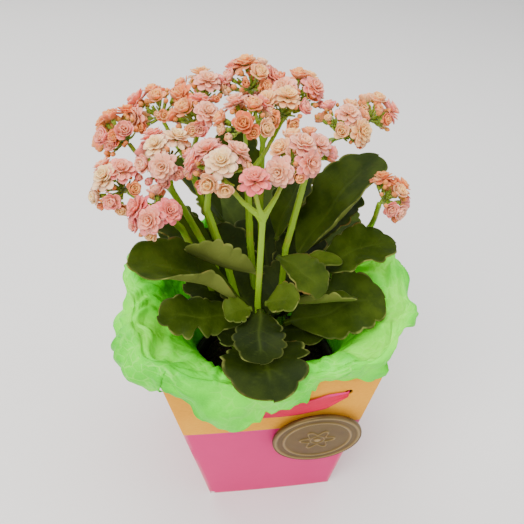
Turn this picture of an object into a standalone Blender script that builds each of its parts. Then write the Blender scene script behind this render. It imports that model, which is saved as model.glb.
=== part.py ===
"""Potted kalanchoe: a double-flowered kalanchoe in a nursery pot, wrapped in a tissue
collar and standing in a tapered card gift box with ribbon handles and a round seal.

Lengths below are in millimetres and are turned into metres where meshes are made.
The origin is on the floor at the middle of the box, the seal side faces -Y, +Z is up.
Heights of the plant are counted from the top of the soil.
"""

import math

import bmesh
import bpy
import numpy as np
from mathutils import Matrix, Vector

MM = 0.001
GAP = 0.35                     # clearance kept between neighbouring solids

# gift box
BOX_BOTTOM_WIDTH = 92.0
BOX_TOP_WIDTH = 132.6
BOX_HEIGHT = 155.7
CARD_THICKNESS = 0.9
WALL_BOW = 1.4                 # how far the card walls belly out
PRINT_HEIGHT = 98.0            # the printed colour ends here, bare card above

# ribbon handles, one in front and one behind
RIBBON_WIDTH = 15.0
RIBBON_THICKNESS = 0.9
RIBBON_HOLE_DIAMETER = 5.0
RIBBON_HOLE_SPACING = 92.0
RIBBON_HOLE_DROP = 20.7        # below the rim of the box
RIBBON_SAG = 13.0
RIBBON_STAND_OFF = 0.85        # between the wall and the ribbon
KNOT_SIZE = 6.0

# round seal on the front wall
SEAL_DIAMETER = 60.0
SEAL_THICKNESS = 2.6
SEAL_OFFSET = 29.0             # to the right of the middle
SEAL_HEIGHT = 87.7
SEAL_RING_HEIGHT = 0.8
SEAL_PAD_DIAMETER = 30.0
SEAL_PAD_THICKNESS = 2.0

# nursery pot and soil
POT_RIM_DIAMETER = 105.0
POT_BASE_DIAMETER = 78.0
POT_WALL = 1.2
POT_FLOOR = 2.2
POT_LIP = 2.2
POT_DROP = 61.7                # the pot's rim lies this far below the rim of the box
SOIL_DROP = 5.0                # and the soil this far below the pot's rim
DRAIN_HOLE_DIAMETER = 9.0
DRAIN_HOLES = 6
SOIL_DEPTH = 62.0

# tissue collar
TISSUE_THICKNESS = 2.4
TISSUE_TUCK = 14.0             # how far it is tucked down beside the pot
TISSUE_FLARE = 17.0            # how far its crest stands out from the box wall
TISSUE_CREST = 15.0            # how far its crest stands above the rim of the box

# plant
STALK_RADIUS = 1.7
BRANCH_RADIUS = 1.05
LEAF_THICKNESS = 1.3
FLORET_DIAMETER = 14.6
FLORET_DEPTH = 3.6
CALYX_DIAMETER = 5.0

POT_HEIGHT = BOX_HEIGHT - POT_DROP - CARD_THICKNESS - GAP
POT_RIM_LEVEL = BOX_HEIGHT - POT_DROP
SOIL_LEVEL = POT_RIM_LEVEL - SOIL_DROP
HOLE_LEVEL = BOX_HEIGHT - RIBBON_HOLE_DROP
BOX_LEAN = math.atan2((BOX_TOP_WIDTH - BOX_BOTTOM_WIDTH) / 2, BOX_HEIGHT)
PLANT_SPREAD = BOX_TOP_WIDTH / 132.6   # the plant fills the mouth of the box
HEAD_SPREAD = FLORET_DIAMETER / 14.6   # forks and heads move apart when the florets are larger
PLANT_HEART = (0, 0, 90)               # the flower heads face away from this point

# each stalk: its colour of wood is the same, its path runs from the soil to the fork,
# and every branch runs from the fork to just under a flower head
STALKS = {
    "front": {
        "path": [(-3, -17, 0), (-6, -32, 56), (-8, -42, 106), (-7, -47, 142), (-6, -50, 171)],
        "branches": ["front_left", "front_right", "front_single"],
    },
    "right_front": {
        "path": [(8, -7, 0), (8, -12, 56), (11, -17, 124), (18, -16, 158), (21, -15, 172)],
        "branches": ["right_front"],
    },
    "left_low": {
        "path": [(-15, -5, 0), (-26, -5, 56), (-38, -7, 104), (-48, -10, 138), (-57, -19, 158)],
        "branches": ["far_left_low", "left_hanging"],
    },
    "left": {
        "path": [(-9, 0, 0), (-19, 1, 56), (-33, -3, 112), (-46, -5, 148), (-52, -7, 164)],
        "branches": ["left_front", "far_left"],
    },
    "left_inner": {
        "path": [(-7, -9, 0), (-14, -14, 60), (-24, -17, 118), (-33, -18, 156)],
        "branches": ["left_inner"],
    },
    "centre": {
        "path": [(0, -1, 0), (-5, -4, 60), (-9, -8, 124), (-10, -9, 170)],
        "branches": ["centre", "centre_right"],
    },
    "back_left": {
        "path": [(-7, 9, 0), (-18, 16, 60), (-32, 20, 120), (-42, 20, 164)],
        "branches": ["back_left", "left_back", "centre_left"],
    },
    "back": {
        "path": [(2, 10, 0), (1, 20, 60), (1, 29, 120), (3, 33, 170)],
        "branches": ["back", "back_right", "rear"],
    },
    "right": {
        "path": [(11, 8, 0), (18, 17, 60), (24, 34, 112), (40, 38, 162)],
        "branches": ["right", "far_right"],
    },
    "right_low": {
        "path": [(16, 1, 0), (29, 6, 44), (50, 12, 80), (71, 13, 115)],
        "branches": ["far_right_low"],
    },
}

# each flower head: middle of the cluster, radius, number of open florets
HEADS = {
    "far_left_low": ((-86, -16, 180), 14, 6),
    "left_hanging": ((-65, -35, 173), 12, 5),
    "far_left": ((-84, 15, 195), 14, 6),
    "left_front": ((-59, -11, 194), 14, 6),
    "left_back": ((-62, 28, 203), 14, 6),
    "left_inner": ((-35, -21, 193), 11, 4),
    "centre_left": ((-40, 7, 206), 12, 5),
    "back_left": ((-35, 37, 208), 14, 6),
    "back": ((-4, 43, 212), 14, 7),
    "back_right": ((25, 37, 206), 14, 6),
    "centre": ((-12, -8, 211), 13, 6),
    "centre_right": ((12, 6, 210), 12, 5),
    "front_left": ((-28, -45, 203), 13, 5),
    "front_right": ((9, -46, 207), 12, 5),
    "front_single": ((-11, -57, 198), 8, 1),
    "right_front": ((24, -17, 195), 12, 4),
    "right": ((50, 11, 197), 14, 6),
    "far_right": ((72, 30, 192), 12, 5),
    "far_right_low": ((80, -5, 153), 12, 5),
    "rear": ((4, 63, 188), 13, 5),
}

# each leaf: foot, tip, width, arch of its spine, rise of its margins, roll about its length
LEAVES = {
    "front_small": ((-7, -46, 105), (-10, -75, 93), 29, 3, 1, 0),
    "front_large": ((-7, -38, 64), (-4, -85, 78), 46, 10, 2, 0),
    "front_pair_right": ((-4, -46, 109), (13, -53, 118), 15, 1, 2, 10),
    "front_pair_left": ((-12, -47, 107), (-27, -53, 110), 13, 1, 2, -10),
    "left_front": ((-14, -41, 90), (-64, -47, 108), 29, 3, -1, -12),
    "left_large": ((-15, -34, 100), (-76, -41, 143), 48, 5, 5, 4),
    "left_upper": ((-28, 8, 104), (-72, 14, 134), 36, 3, 3, 0),
    "left_folded": ((-6, -32, 120), (-45, -32, 144), 34, -3, 6, 55),
    "right_hanging": ((5, -23, 124), (31, -42, 110), 24, 4, 2, 12),
    "right_edge_on": ((4, -30, 94), (52, -36, 100), 24, -2, 5, -35),
    "right_lower": ((10, -27, 72), (74, -24, 86), 44, 3, 3, 22),
    "right_lobed": ((28, -14, 100), (80, -9, 118), 38, 5, 3, 0),
    "right_large": ((18, -6, 104), (74, 30, 157), 46, 3, 5, -10),
    "right_middle": ((28, 8, 102), (64, 26, 131), 28, 2, 2, 0),
    "right_small": ((14, -16, 106), (44, -22, 117), 15, 2, 2, 0),
    "centre_back": ((9, 12, 108), (31, 33, 148), 34, 2, 3, -20),
    "back_upright": ((-7, 25, 124), (-16, 58, 166), 30, 3, 2, 0),
    "left_inner_back": ((-22, 33, 108), (-53, 47, 150), 34, 2, 3, 10),
    "back_low_left": ((-9, 24, 84), (-28, 84, 104), 40, 6, 3, 0),
    "back_low_right": ((9, 27, 87), (25, 84, 107), 39, 4, 2, -6),
    "back_right_corner": ((26, 18, 80), (68, 60, 98), 40, 5, 3, 0),
    "back_left_corner": ((-31, 22, 88), (-75, 49, 110), 40, 5, 3, 5),
}

COLOURS = {
    "kraft_card": (0.73, 0.40, 0.16),
    "pink_print": (0.67, 0.13, 0.26),
    "ribbon_satin": (0.84, 0.01, 0.10),
    "seal_bronze": (0.26, 0.17, 0.06),
    "foam": (0.85, 0.85, 0.83),
    "tissue_green": (0.17, 0.66, 0.14),
    "pot_brown": (0.10, 0.045, 0.03),
    "soil": (0.035, 0.02, 0.012),
    "stalk_green": (0.30, 0.46, 0.04),
    "leaf_green": (0.025, 0.065, 0.01),
    "petal_pink": (0.83, 0.42, 0.42),
}


def material(name, roughness=0.6, metallic=0.0):
    """A Principled material in one of the named colours, made once."""
    found = bpy.data.materials.get(name)
    if found:
        return found
    made = bpy.data.materials.new(name)
    made.use_nodes = True
    shader = made.node_tree.nodes["Principled BSDF"]
    shader.inputs["Base Color"].default_value = (*COLOURS[name], 1.0)
    shader.inputs["Roughness"].default_value = roughness
    shader.inputs["Metallic"].default_value = metallic
    made.diffuse_color = (*COLOURS[name], 1.0)
    return made


def clear_scene():
    for thing in list(bpy.data.objects):
        bpy.data.objects.remove(thing)


def add_object(name, points, faces, finish):
    """A new object from points in millimetres and faces of point numbers."""
    mesh = bpy.data.meshes.new(name)
    mesh.from_pydata([tuple(float(v) * MM for v in point) for point in points], [], faces)
    mesh.validate()
    fix_normals(mesh)
    thing = bpy.data.objects.new(name, mesh)
    bpy.context.scene.collection.objects.link(thing)
    mesh.materials.append(finish)
    return thing


def fix_normals(mesh):
    shape = bmesh.new()
    shape.from_mesh(mesh)
    bmesh.ops.recalc_face_normals(shape, faces=shape.faces)
    if shape.calc_volume(signed=True) < 0:
        bmesh.ops.reverse_faces(shape, faces=shape.faces)
    shape.to_mesh(mesh)
    shape.free()


def smooth(thing, sharp_angle=40.0):
    thing.data.shade_smooth()
    thing.data.set_sharp_from_angle(angle=math.radians(sharp_angle))


def loft_faces(rings, size, closed_path=False):
    """Quads between successive rings of equal size, with end caps on an open path."""
    faces = []
    steps = rings if closed_path else rings - 1
    for ring in range(steps):
        this, following = ring * size, (ring + 1) % rings * size
        for k in range(size):
            after = (k + 1) % size
            faces.append((this + k, this + after, following + after, following + k))
    if not closed_path:
        faces.append(tuple(range(size)))
        faces.append(tuple((rings - 1) * size + k for k in reversed(range(size))))
    return faces


def apply_boolean(thing, cutter, operation, self_overlaps=False):
    """Apply an exact Boolean and remove the second object."""
    step = thing.modifiers.new("boolean", "BOOLEAN")
    step.operation = operation
    step.object = cutter
    step.solver = "EXACT"
    step.use_self = self_overlaps
    depsgraph = bpy.context.evaluated_depsgraph_get()
    result = bpy.data.meshes.new_from_object(thing.evaluated_get(depsgraph))
    thing.modifiers.clear()
    thing.data = result
    bpy.data.objects.remove(cutter)


def add_cylinder(radius, length, place, sides=24):
    """A closed cylinder about its own Z, centred at its middle, put where place says."""
    shape = bmesh.new()
    bmesh.ops.create_cone(shape, cap_ends=True, segments=sides, radius1=radius * MM,
                          radius2=radius * MM, depth=length * MM)
    shape.transform(place)
    mesh = bpy.data.meshes.new("cylinder")
    shape.to_mesh(mesh)
    shape.free()
    thing = bpy.data.objects.new("cylinder", mesh)
    bpy.context.scene.collection.objects.link(thing)
    return thing


# ---------------------------------------------------------------- box, ribbons, seal

def wall_distance(height, along=0.0):
    """Distance of the outer wall from the middle plane, with its belly."""
    half = (BOX_BOTTOM_WIDTH + (BOX_TOP_WIDTH - BOX_BOTTOM_WIDTH) * height / BOX_HEIGHT) / 2
    belly = WALL_BOW * math.sin(math.pi * (0.15 + 0.75 * height / BOX_HEIGHT))
    share = max(0.0, 1 - (along / half) ** 2)
    return half + belly * share


def box_ring(height, inset, steps=6):
    """One turn round the box at a height, each side as a shallow arc."""
    half = (BOX_BOTTOM_WIDTH + (BOX_TOP_WIDTH - BOX_BOTTOM_WIDTH) * height / BOX_HEIGHT) / 2
    ring = []
    for side in range(4):
        turn = Matrix.Rotation(math.radians(90 * side), 3, "Z")
        for k in range(steps):
            along = half * (2 * k / steps - 1)
            out = wall_distance(height, along) - inset
            along *= (half - inset) / half
            ring.append(turn @ Vector((along, -out, height)))
    return ring


def add_gift_box():
    levels = [0, 34, 68, PRINT_HEIGHT, 128, BOX_HEIGHT]
    outer = [box_ring(level, 0.0) for level in levels]
    levels[0] = CARD_THICKNESS
    inner = [box_ring(level, CARD_THICKNESS) for level in reversed(levels)]
    rings = outer + inner
    size = len(rings[0])
    points = [point for ring in rings for point in ring]
    box = add_object("gift_box", points, loft_faces(len(rings), size), material("kraft_card", 0.75))
    for x in (-RIBBON_HOLE_SPACING / 2, RIBBON_HOLE_SPACING / 2):
        place = Matrix.Translation((x * MM, 0, HOLE_LEVEL * MM)) @ Matrix.Rotation(math.pi / 2, 4, "X")
        apply_boolean(box, add_cylinder(RIBBON_HOLE_DIAMETER / 2, BOX_TOP_WIDTH + 20, place, 12),
                      "DIFFERENCE")
    box.data.materials.clear()
    box.data.materials.append(material("kraft_card", 0.75))
    box.data.materials.append(material("pink_print", 0.5))
    for face in box.data.polygons:
        x, y, z = face.center / MM
        outside = max(abs(x), abs(y)) > wall_distance(z, min(abs(x), abs(y))) - CARD_THICKNESS / 2
        face.material_index = int(outside and z < PRINT_HEIGHT)
    return box


def add_ribbon(name, side):
    """A ribbon from a knot inside the box, out through a hole, along the wall and back in."""
    half = RIBBON_HOLE_SPACING / 2
    neck = RIBBON_HOLE_DIAMETER / 2 * 0.7 - GAP
    knot_side = wall_distance(HOLE_LEVEL - KNOT_SIZE / 2, half + KNOT_SIZE / 2)
    inside = knot_side - CARD_THICKNESS - GAP - 0.2
    outside = wall_distance(HOLE_LEVEL, half) + GAP
    across, up = Vector((1, 0, 0)), Vector((0, 0, 1))
    stations = [
        (Vector((half, -inside + KNOT_SIZE, HOLE_LEVEL)), across, KNOT_SIZE * 0.5, KNOT_SIZE * 0.5),
        (Vector((half, -inside + KNOT_SIZE * 0.8, HOLE_LEVEL)), across, KNOT_SIZE, KNOT_SIZE),
        (Vector((half, -inside, HOLE_LEVEL)), across, KNOT_SIZE, KNOT_SIZE),
        (Vector((half, -inside - 0.3, HOLE_LEVEL)), across, 2 * neck, 2 * neck),
        (Vector((half, -outside - 0.8, HOLE_LEVEL)), across, 2 * neck, 2 * neck),
    ]
    steps = 12
    for k in range(1, steps):
        share = 1 - 2 * k / steps
        x = share * half
        z = HOLE_LEVEL - RIBBON_SAG * (1 - share ** 2)
        width = RIBBON_WIDTH * min(1.0, 0.35 + 2.4 * (1 - abs(share)))
        place = Vector((x, -wall_distance(z, x) - RIBBON_STAND_OFF - RIBBON_THICKNESS / 2, z))
        stations.append((place, Vector((0, -1, 0)), width, RIBBON_THICKNESS))
    mirrored = [(Vector((-p.x, p.y, p.z)), -d, w, t) for p, d, w, t in reversed(stations[:5])]
    points = []
    for place, thick, width, thickness in stations + mirrored:
        lean = Vector((0, -math.sin(BOX_LEAN), math.cos(BOX_LEAN))) if width > KNOT_SIZE else up
        for u, v in ((-1, -1), (1, -1), (1, 1), (-1, 1)):
            point = place + thick * (u * thickness / 2) + lean * (v * width / 2)
            points.append((point.x, point.y * side, point.z))
    ribbon = add_object(name, points, loft_faces(len(stations) + 5, 4), material("ribbon_satin", 0.35))
    smooth(ribbon, 50)
    return ribbon


def seal_place(stand_off):
    """Frame on the front wall: its Z points out of the wall, square to it."""
    turn = Matrix.Rotation(math.pi / 2 + BOX_LEAN, 4, "X")
    out = turn.to_3x3() @ Vector((0, 0, 1))
    wall = Vector((SEAL_OFFSET, -wall_distance(SEAL_HEIGHT, 0.0), SEAL_HEIGHT))
    return Matrix.Translation((wall + out * stand_off) * MM) @ turn


def add_turned(name, profile, place, finish, sides):
    """A solid turned about its Z from a profile of (radius, height) that starts and ends on it."""
    points, faces = [(0, 0, profile[0][1]), (0, 0, profile[-1][1])], []
    rim = profile[1:-1]
    for radius, height in rim:
        for k in range(sides):
            angle = 2 * math.pi * k / sides
            points.append((radius * math.cos(angle), radius * math.sin(angle), height))
    for k in range(sides):
        after = (k + 1) % sides
        faces.append((0, 2 + after, 2 + k))
        for ring in range(len(rim) - 1):
            low, high = 2 + ring * sides, 2 + (ring + 1) * sides
            faces.append((low + k, low + after, high + after, high + k))
        last = 2 + (len(rim) - 1) * sides
        faces.append((1, last + k, last + after))
    thing = add_object(name, points, faces, finish)
    thing.data.transform(place)
    smooth(thing)
    return thing


def add_seal():
    r, t, ring = SEAL_DIAMETER / 2, SEAL_THICKNESS, SEAL_RING_HEIGHT
    profile = [(0, 0), (r - 1.2, 0), (r, 0.9), (r, t - 0.4), (r - 0.6, t), (r - 2.2, t),
               (r - 3.2, t - ring), (r - 6.4, t - ring), (r - 7.0, t), (r - 8.2, t),
               (r - 8.8, t - ring), (9.0, t - ring), (6.0, t), (0, t + 0.3)]
    stand = 0.6 + SEAL_PAD_THICKNESS + GAP
    add_turned("seal_disc", profile, seal_place(stand), material("seal_bronze", 0.4, 0.7), 28)
    pad = [(0, 0), (SEAL_PAD_DIAMETER / 2, 0), (SEAL_PAD_DIAMETER / 2, SEAL_PAD_THICKNESS),
           (0, SEAL_PAD_THICKNESS)]
    add_turned("seal_pad", pad, seal_place(0.6), material("foam", 0.9), 16)


# ---------------------------------------------------------------- pot, soil, tissue

def pot_radius(height):
    """Inner radius of the pot at a height above its foot."""
    foot, rim = POT_BASE_DIAMETER / 2, POT_RIM_DIAMETER / 2 - POT_LIP
    return foot + (rim - foot) * height / POT_HEIGHT - POT_WALL


def add_pot():
    foot, rim, h = POT_BASE_DIAMETER / 2, POT_RIM_DIAMETER / 2, POT_HEIGHT
    profile = [(0, 0), (foot - 1, 0), (foot, 1), (pot_radius(h - 9) + POT_WALL, h - 9), (rim, h - 9),
               (rim, h), (pot_radius(h), h), (pot_radius(POT_FLOOR), POT_FLOOR),
               (0, POT_FLOOR)]
    lift = Matrix.Translation((0, 0, (CARD_THICKNESS + GAP) * MM))
    pot = add_turned("nursery_pot", profile, lift, material("pot_brown", 0.55), 28)
    for k in range(DRAIN_HOLES):
        angle = 2 * math.pi * k / DRAIN_HOLES
        middle = (0.66 * foot * math.cos(angle) * MM, 0.66 * foot * math.sin(angle) * MM, 0)
        apply_boolean(pot, add_cylinder(DRAIN_HOLE_DIAMETER / 2, 16, Matrix.Translation(middle), 8),
                      "DIFFERENCE")
    pot.data.materials.clear()
    pot.data.materials.append(material("pot_brown", 0.55))


def add_soil():
    top = SOIL_LEVEL - CARD_THICKNESS - GAP
    low = top - SOIL_DEPTH
    profile = [(0, low), (pot_radius(low) - GAP - 0.2, low), (pot_radius(top - 1.5) - GAP - 0.2, top - 1.5),
               (pot_radius(top) - 2.5, top), (0, top)]
    lift = Matrix.Translation((0, 0, (CARD_THICKNESS + GAP) * MM))
    add_turned("potting_soil", profile, lift, material("soil", 0.95), 28)


def bump(angle, centre, spread):
    """1 at the centre angle, falling smoothly to 0 over the spread, all in degrees."""
    away = (angle - centre + 180) % 360 - 180
    return math.exp(-(away / spread) ** 2)


def squircle(angle, power):
    """Radius of a rounded square of half-width 1 in a direction; power 2 is a circle."""
    c, s = abs(math.cos(math.radians(angle))), abs(math.sin(math.radians(angle)))
    return (c ** power + s ** power) ** (-1 / power)


def tissue_path(angle):
    """Middle line of the collar in one direction: (distance from the axis, height) pairs."""
    rim = BOX_HEIGHT
    inner = BOX_TOP_WIDTH / 2 - CARD_THICKNESS
    side = TISSUE_THICKNESS / 2
    pot = POT_RIM_DIAMETER / 2 + side + GAP
    ruffle = 1.6 * math.sin(math.radians(7 * angle)) + 1.1 * math.sin(math.radians(11 * angle + 40))
    front, left, right = bump(angle, 268, 34), bump(angle, 182, 34), bump(angle, 356, 36)
    corner_left = bump(angle, 222, 20)
    back = bump(angle, 90, 50)
    crest_out = inner + TISSUE_FLARE + 9 * left + 11 * right - 5 * front + 5 * corner_left
    crest_up = rim + TISSUE_CREST + 10 * left + 3 * right - 6 * front + ruffle
    edge_out = crest_out + 1 + 2 * right + 2 * left + 2 * front
    edge_up = crest_up - 11 - 19 * front - 7 * back - 2 * corner_left
    edge_up += 7 * abs(math.sin(math.radians(2 * angle))) ** 6
    crest_out *= squircle(angle, 2.5)
    edge_out *= squircle(angle, 2.5)
    return [
        (pot + 0.3, POT_RIM_LEVEL - TISSUE_TUCK),
        (pot + 0.5, POT_RIM_LEVEL + 2),
        ((inner - 8.5) * squircle(angle, 2.5), rim - 24),
        ((inner - 5.5) * squircle(angle, 3.0), rim - 6),
        ((inner + 0.5) * squircle(angle, 3.0), rim + 6),
        (0.5 * (inner + 0.5) * squircle(angle, 3.0) + 0.5 * crest_out, 0.25 * rim + 0.75 * crest_up + 1),
        (crest_out, crest_up),
        (edge_out + 2.0, (crest_up + edge_up) / 2),
        (edge_out, edge_up),
    ]


def add_tissue():
    """The collar: one wall round the pot, up the box, out over its rim and down again."""
    turns = 48
    rings = []
    for k in range(turns):
        angle = 360 * k / turns
        path = np.array(tissue_path(angle))
        along = np.gradient(path, axis=0)
        along /= np.linalg.norm(along, axis=1)[:, None]
        normal = np.stack([-along[:, 1], along[:, 0]], axis=1)
        outer = path - normal * TISSUE_THICKNESS / 2
        inner = path + normal * TISSUE_THICKNESS / 2
        loop = np.concatenate([outer, inner[::-1]])
        c, s = math.cos(math.radians(angle)), math.sin(math.radians(angle))
        rings.append([(r * c, r * s, z) for r, z in loop])
    points = [point for ring in rings for point in ring]
    faces = loft_faces(turns, len(rings[0]), closed_path=True)
    smooth(add_object("tissue_collar", points, faces, material("tissue_green", 0.6)))


# ---------------------------------------------------------------- plant

def on_plant(point):
    """A place of the plant, counted from the soil, in the object's own frame."""
    x, y, z = point
    return Vector((x * PLANT_SPREAD, y * PLANT_SPREAD, SOIL_LEVEL + z))


def spread_out(point):
    """A point of the crown, moved away from the plant's heart as the florets grow."""
    heart = on_plant(PLANT_HEART)
    return heart + (on_plant(point) - heart) * HEAD_SPREAD


def head_centre(name):
    return spread_out(HEADS[name][0])


def head_axis(name):
    """Direction a flower head faces: away from a point low inside the plant."""
    return (head_centre(name) - on_plant(PLANT_HEART)).normalized()


def head_foot(name):
    """Where the florets of a head spring from."""
    radius = HEADS[name][1]
    return head_centre(name) - head_axis(name) * radius * 0.95


def floret_directions(name):
    """Golden-angle spread of directions over a cap about the head's axis."""
    count = HEADS[name][2]
    turn = head_axis(name).to_track_quat("Z", "Y")
    if count == 1:
        return [head_axis(name)]
    directions = []
    for k in range(count):
        height = 1 - (k + 0.35) / count * (1 - math.cos(math.radians(68)))
        angle = k * math.pi * (3 - math.sqrt(5))
        flat = math.sqrt(1 - height ** 2)
        directions.append(turn @ Vector((flat * math.cos(angle), flat * math.sin(angle), height)))
    return directions


def floret_body(foot, direction, length, sides=6):
    """A trumpet: thin pedicel from the foot, calyx, then the wide double flower."""
    turn = direction.to_track_quat("Z", "Y")
    depth = FLORET_DEPTH
    rings = [(0.7, 0.0), (CALYX_DIAMETER / 2, length - depth * 1.6),
             (FLORET_DIAMETER / 2, length - depth * 0.6), (FLORET_DIAMETER / 2 * 0.8, length)]
    points = []
    for radius, height in rings:
        for k in range(sides):
            angle = 2 * math.pi * (k + 0.5) / sides
            points.append(foot + turn @ Vector((radius * math.cos(angle), radius * math.sin(angle), height)))
    return points, loft_faces(len(rings), sides)


def add_head(name):
    centre, radius, _ = HEADS[name]
    foot = head_foot(name)
    length = radius * 1.2
    points, faces = [], []
    for direction in floret_directions(name):
        body_points, body_faces = floret_body(foot, direction, length)
        first = len(points)
        points += body_points
        faces += [tuple(first + k for k in face) for face in body_faces]
    head = add_object("flowers_" + name, points, faces, material("petal_pink", 0.6))
    hub = bmesh.new()
    bmesh.ops.create_icosphere(hub, subdivisions=1, radius=2.0 * MM)
    hub.transform(Matrix.Translation(foot * MM))
    mesh = bpy.data.meshes.new("hub")
    hub.to_mesh(mesh)
    hub.free()
    joint = bpy.data.objects.new("hub", mesh)
    bpy.context.scene.collection.objects.link(joint)
    apply_boolean(head, joint, "UNION", self_overlaps=True)
    head.data.materials.clear()
    head.data.materials.append(material("petal_pink", 0.6))


def branch_route(fork, name):
    """A branch leaves the fork and comes up under its head along the head's axis."""
    tip = head_foot(name) - head_axis(name) * (2.0 + GAP + 1.4)
    middle = fork.lerp(tip, 0.5) + Vector((0, 0, -0.08 * (tip - fork).length))
    return [middle, tip]


def add_stalk(name):
    """A branching graph of points, given its thickness by a Skin modifier."""
    plan = STALKS[name]
    route = [on_plant(point) for point in plan["path"][:-1]] + [spread_out(plan["path"][-1])]
    route[0].z += GAP + STALK_RADIUS / 2
    points, edges, radii = [], [], []
    for k, point in enumerate(route):
        points.append(point)
        radii.append(STALK_RADIUS * (1.12 - 0.2 * k / (len(route) - 1)))
        if k:
            edges.append((k - 1, k))
    fork = len(points) - 1
    for head in plan["branches"]:
        before = fork
        for point in branch_route(route[-1], head):
            points.append(point)
            radii.append(BRANCH_RADIUS if len(plan["branches"]) > 1 else STALK_RADIUS * 0.8)
            edges.append((before, len(points) - 1))
            before = len(points) - 1
    mesh = bpy.data.meshes.new("stem_" + name)
    mesh.from_pydata([tuple(point * MM) for point in points], edges, [])
    stalk = bpy.data.objects.new("stem_" + name, mesh)
    bpy.context.scene.collection.objects.link(stalk)
    skin = stalk.modifiers.new("skin", "SKIN")
    skin.use_smooth_shade = True
    for corner, radius in zip(mesh.skin_vertices[0].data, radii):
        corner.radius = (radius * MM, radius * MM)
    mesh.skin_vertices[0].data[0].use_root = True
    mesh.materials.append(material("stalk_green", 0.5))


def leaf_outline(share):
    """Half-width of a leaf along its length, as a share of the greatest half-width."""
    stem_part = 0.13 + 0.10 * share
    blade = max(0.0, math.sin(math.pi * min(1.0, max(0.0, (share - 0.12) / 0.88)) ** 1.15))
    return max(stem_part * (1 - share), blade ** 0.62)


def add_leaf(name):
    """A thin blade: sections square to the line from foot to tip, arched and cupped."""
    foot, tip, width, arch, cup, roll = LEAVES[name]
    foot, tip = on_plant(foot), on_plant(tip)
    chord = (tip - foot).normalized()
    side = Vector((0, 0, 1)).cross(chord).normalized()
    side.rotate(Matrix.Rotation(math.radians(roll), 3, chord))
    up = chord.cross(side).normalized()
    stations = 9
    columns = (-1.0, -0.5, 0.0, 0.5, 1.0)
    points = [foot]
    for k in range(1, stations):
        share = k / stations
        half = width / 2 * leaf_outline(share)
        spine = foot.lerp(tip, share) + up * (arch * math.sin(math.pi * share))
        rise = cup * math.sin(math.pi * share) ** 0.5
        thick = LEAF_THICKNESS / 2
        ring = [spine + side * (half * c) + up * (rise * c * c + thick * (1 - c * c)) for c in columns]
        ring += [spine + side * (half * c) + up * (rise * c * c - thick * (1 - c * c))
                 for c in reversed(columns[1:-1])]
        points += ring
    points.append(tip)
    size = 8
    faces = []
    for k in range(stations - 2):
        low, high = 1 + k * size, 1 + (k + 1) * size
        for j in range(size):
            after = (j + 1) % size
            faces.append((low + j, low + after, high + after, high + j))
    last = 1 + (stations - 2) * size
    for j in range(size):
        after = (j + 1) % size
        faces.append((0, 1 + after, 1 + j))
        faces.append((len(points) - 1, last + j, last + after))
    smooth(add_object("leaf_" + name, points, faces, material("leaf_green", 0.45)), 60)


def main():
    clear_scene()
    add_gift_box()
    add_ribbon("ribbon_front", 1)
    add_ribbon("ribbon_back", -1)
    add_seal()
    add_pot()
    add_soil()
    add_tissue()
    for name in STALKS:
        add_stalk(name)
    for name in HEADS:
        add_head(name)
    for name in LEAVES:
        add_leaf(name)


main()
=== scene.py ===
import math

import bmesh
import bpy
import numpy as np
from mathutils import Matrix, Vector
from mathutils.geometry import delaunay_2d_cdt


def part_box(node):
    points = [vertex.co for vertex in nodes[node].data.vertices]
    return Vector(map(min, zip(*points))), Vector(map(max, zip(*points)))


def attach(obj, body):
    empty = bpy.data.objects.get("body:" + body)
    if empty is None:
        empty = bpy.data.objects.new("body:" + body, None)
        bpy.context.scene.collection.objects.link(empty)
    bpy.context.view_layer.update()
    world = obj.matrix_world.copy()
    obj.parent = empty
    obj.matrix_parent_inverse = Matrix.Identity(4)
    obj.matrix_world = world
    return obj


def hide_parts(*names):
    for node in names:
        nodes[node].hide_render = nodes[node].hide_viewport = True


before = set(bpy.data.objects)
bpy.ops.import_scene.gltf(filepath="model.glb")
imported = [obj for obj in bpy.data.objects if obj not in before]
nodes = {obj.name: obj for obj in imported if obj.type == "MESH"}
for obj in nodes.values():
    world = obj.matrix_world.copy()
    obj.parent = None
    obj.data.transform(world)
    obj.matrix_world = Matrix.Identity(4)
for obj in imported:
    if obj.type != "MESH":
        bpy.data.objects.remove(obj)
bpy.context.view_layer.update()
mm = 0.001
goldenTurn = math.pi * (3 - math.sqrt(5))


# small tools for numbers, all on whole arrays

def smoothStep(x, low, high):
    # 0 below low, 1 above high, and 3t^2 - 2t^3 between them
    t = np.clip((np.asarray(x, float) - low) / (high - low), 0, 1)
    return t * t * (3 - 2 * t)


def unit(v):
    v = np.asarray(v, float)
    return v / np.maximum(np.linalg.norm(v, axis=-1, keepdims=True), 1e-12)


def hump(x, centre, spread):
    # 1 at the centre and falling off as a bell
    return np.exp(-((x - centre) / spread) ** 2)


def angleHump(angle, centre, spread):
    away = (angle - centre + 180) % 360 - 180
    return np.exp(-(away / spread) ** 2)


def zigzag(x):
    # a triangle wave from -1 to 1 with period 1: straight facets between sharp creases
    return 4 * np.abs((x + 0.25) % 1 - 0.5) - 1


def vertexPlaces(node):
    # the separate corners of a CAD node in metres, each once
    data = nodes[node].data
    co = np.zeros(len(data.vertices) * 3)
    data.vertices.foreach_get("co", co)
    return np.unique(np.round(co.reshape(-1, 3), 7), axis=0)


def gridQuads(rows, columns, closeRows=False, closeColumns=False):
    # one quad for each cell of a grid whose points run row by row
    r, c = np.meshgrid(np.arange(rows - (not closeRows)), np.arange(columns - (not closeColumns)),
                       indexing="ij")
    r2, c2 = (r + 1) % rows, (c + 1) % columns
    corners = [r * columns + c, r * columns + c2, r2 * columns + c2, r2 * columns + c]
    return np.stack(corners, -1).reshape(-1, 4)


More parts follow.
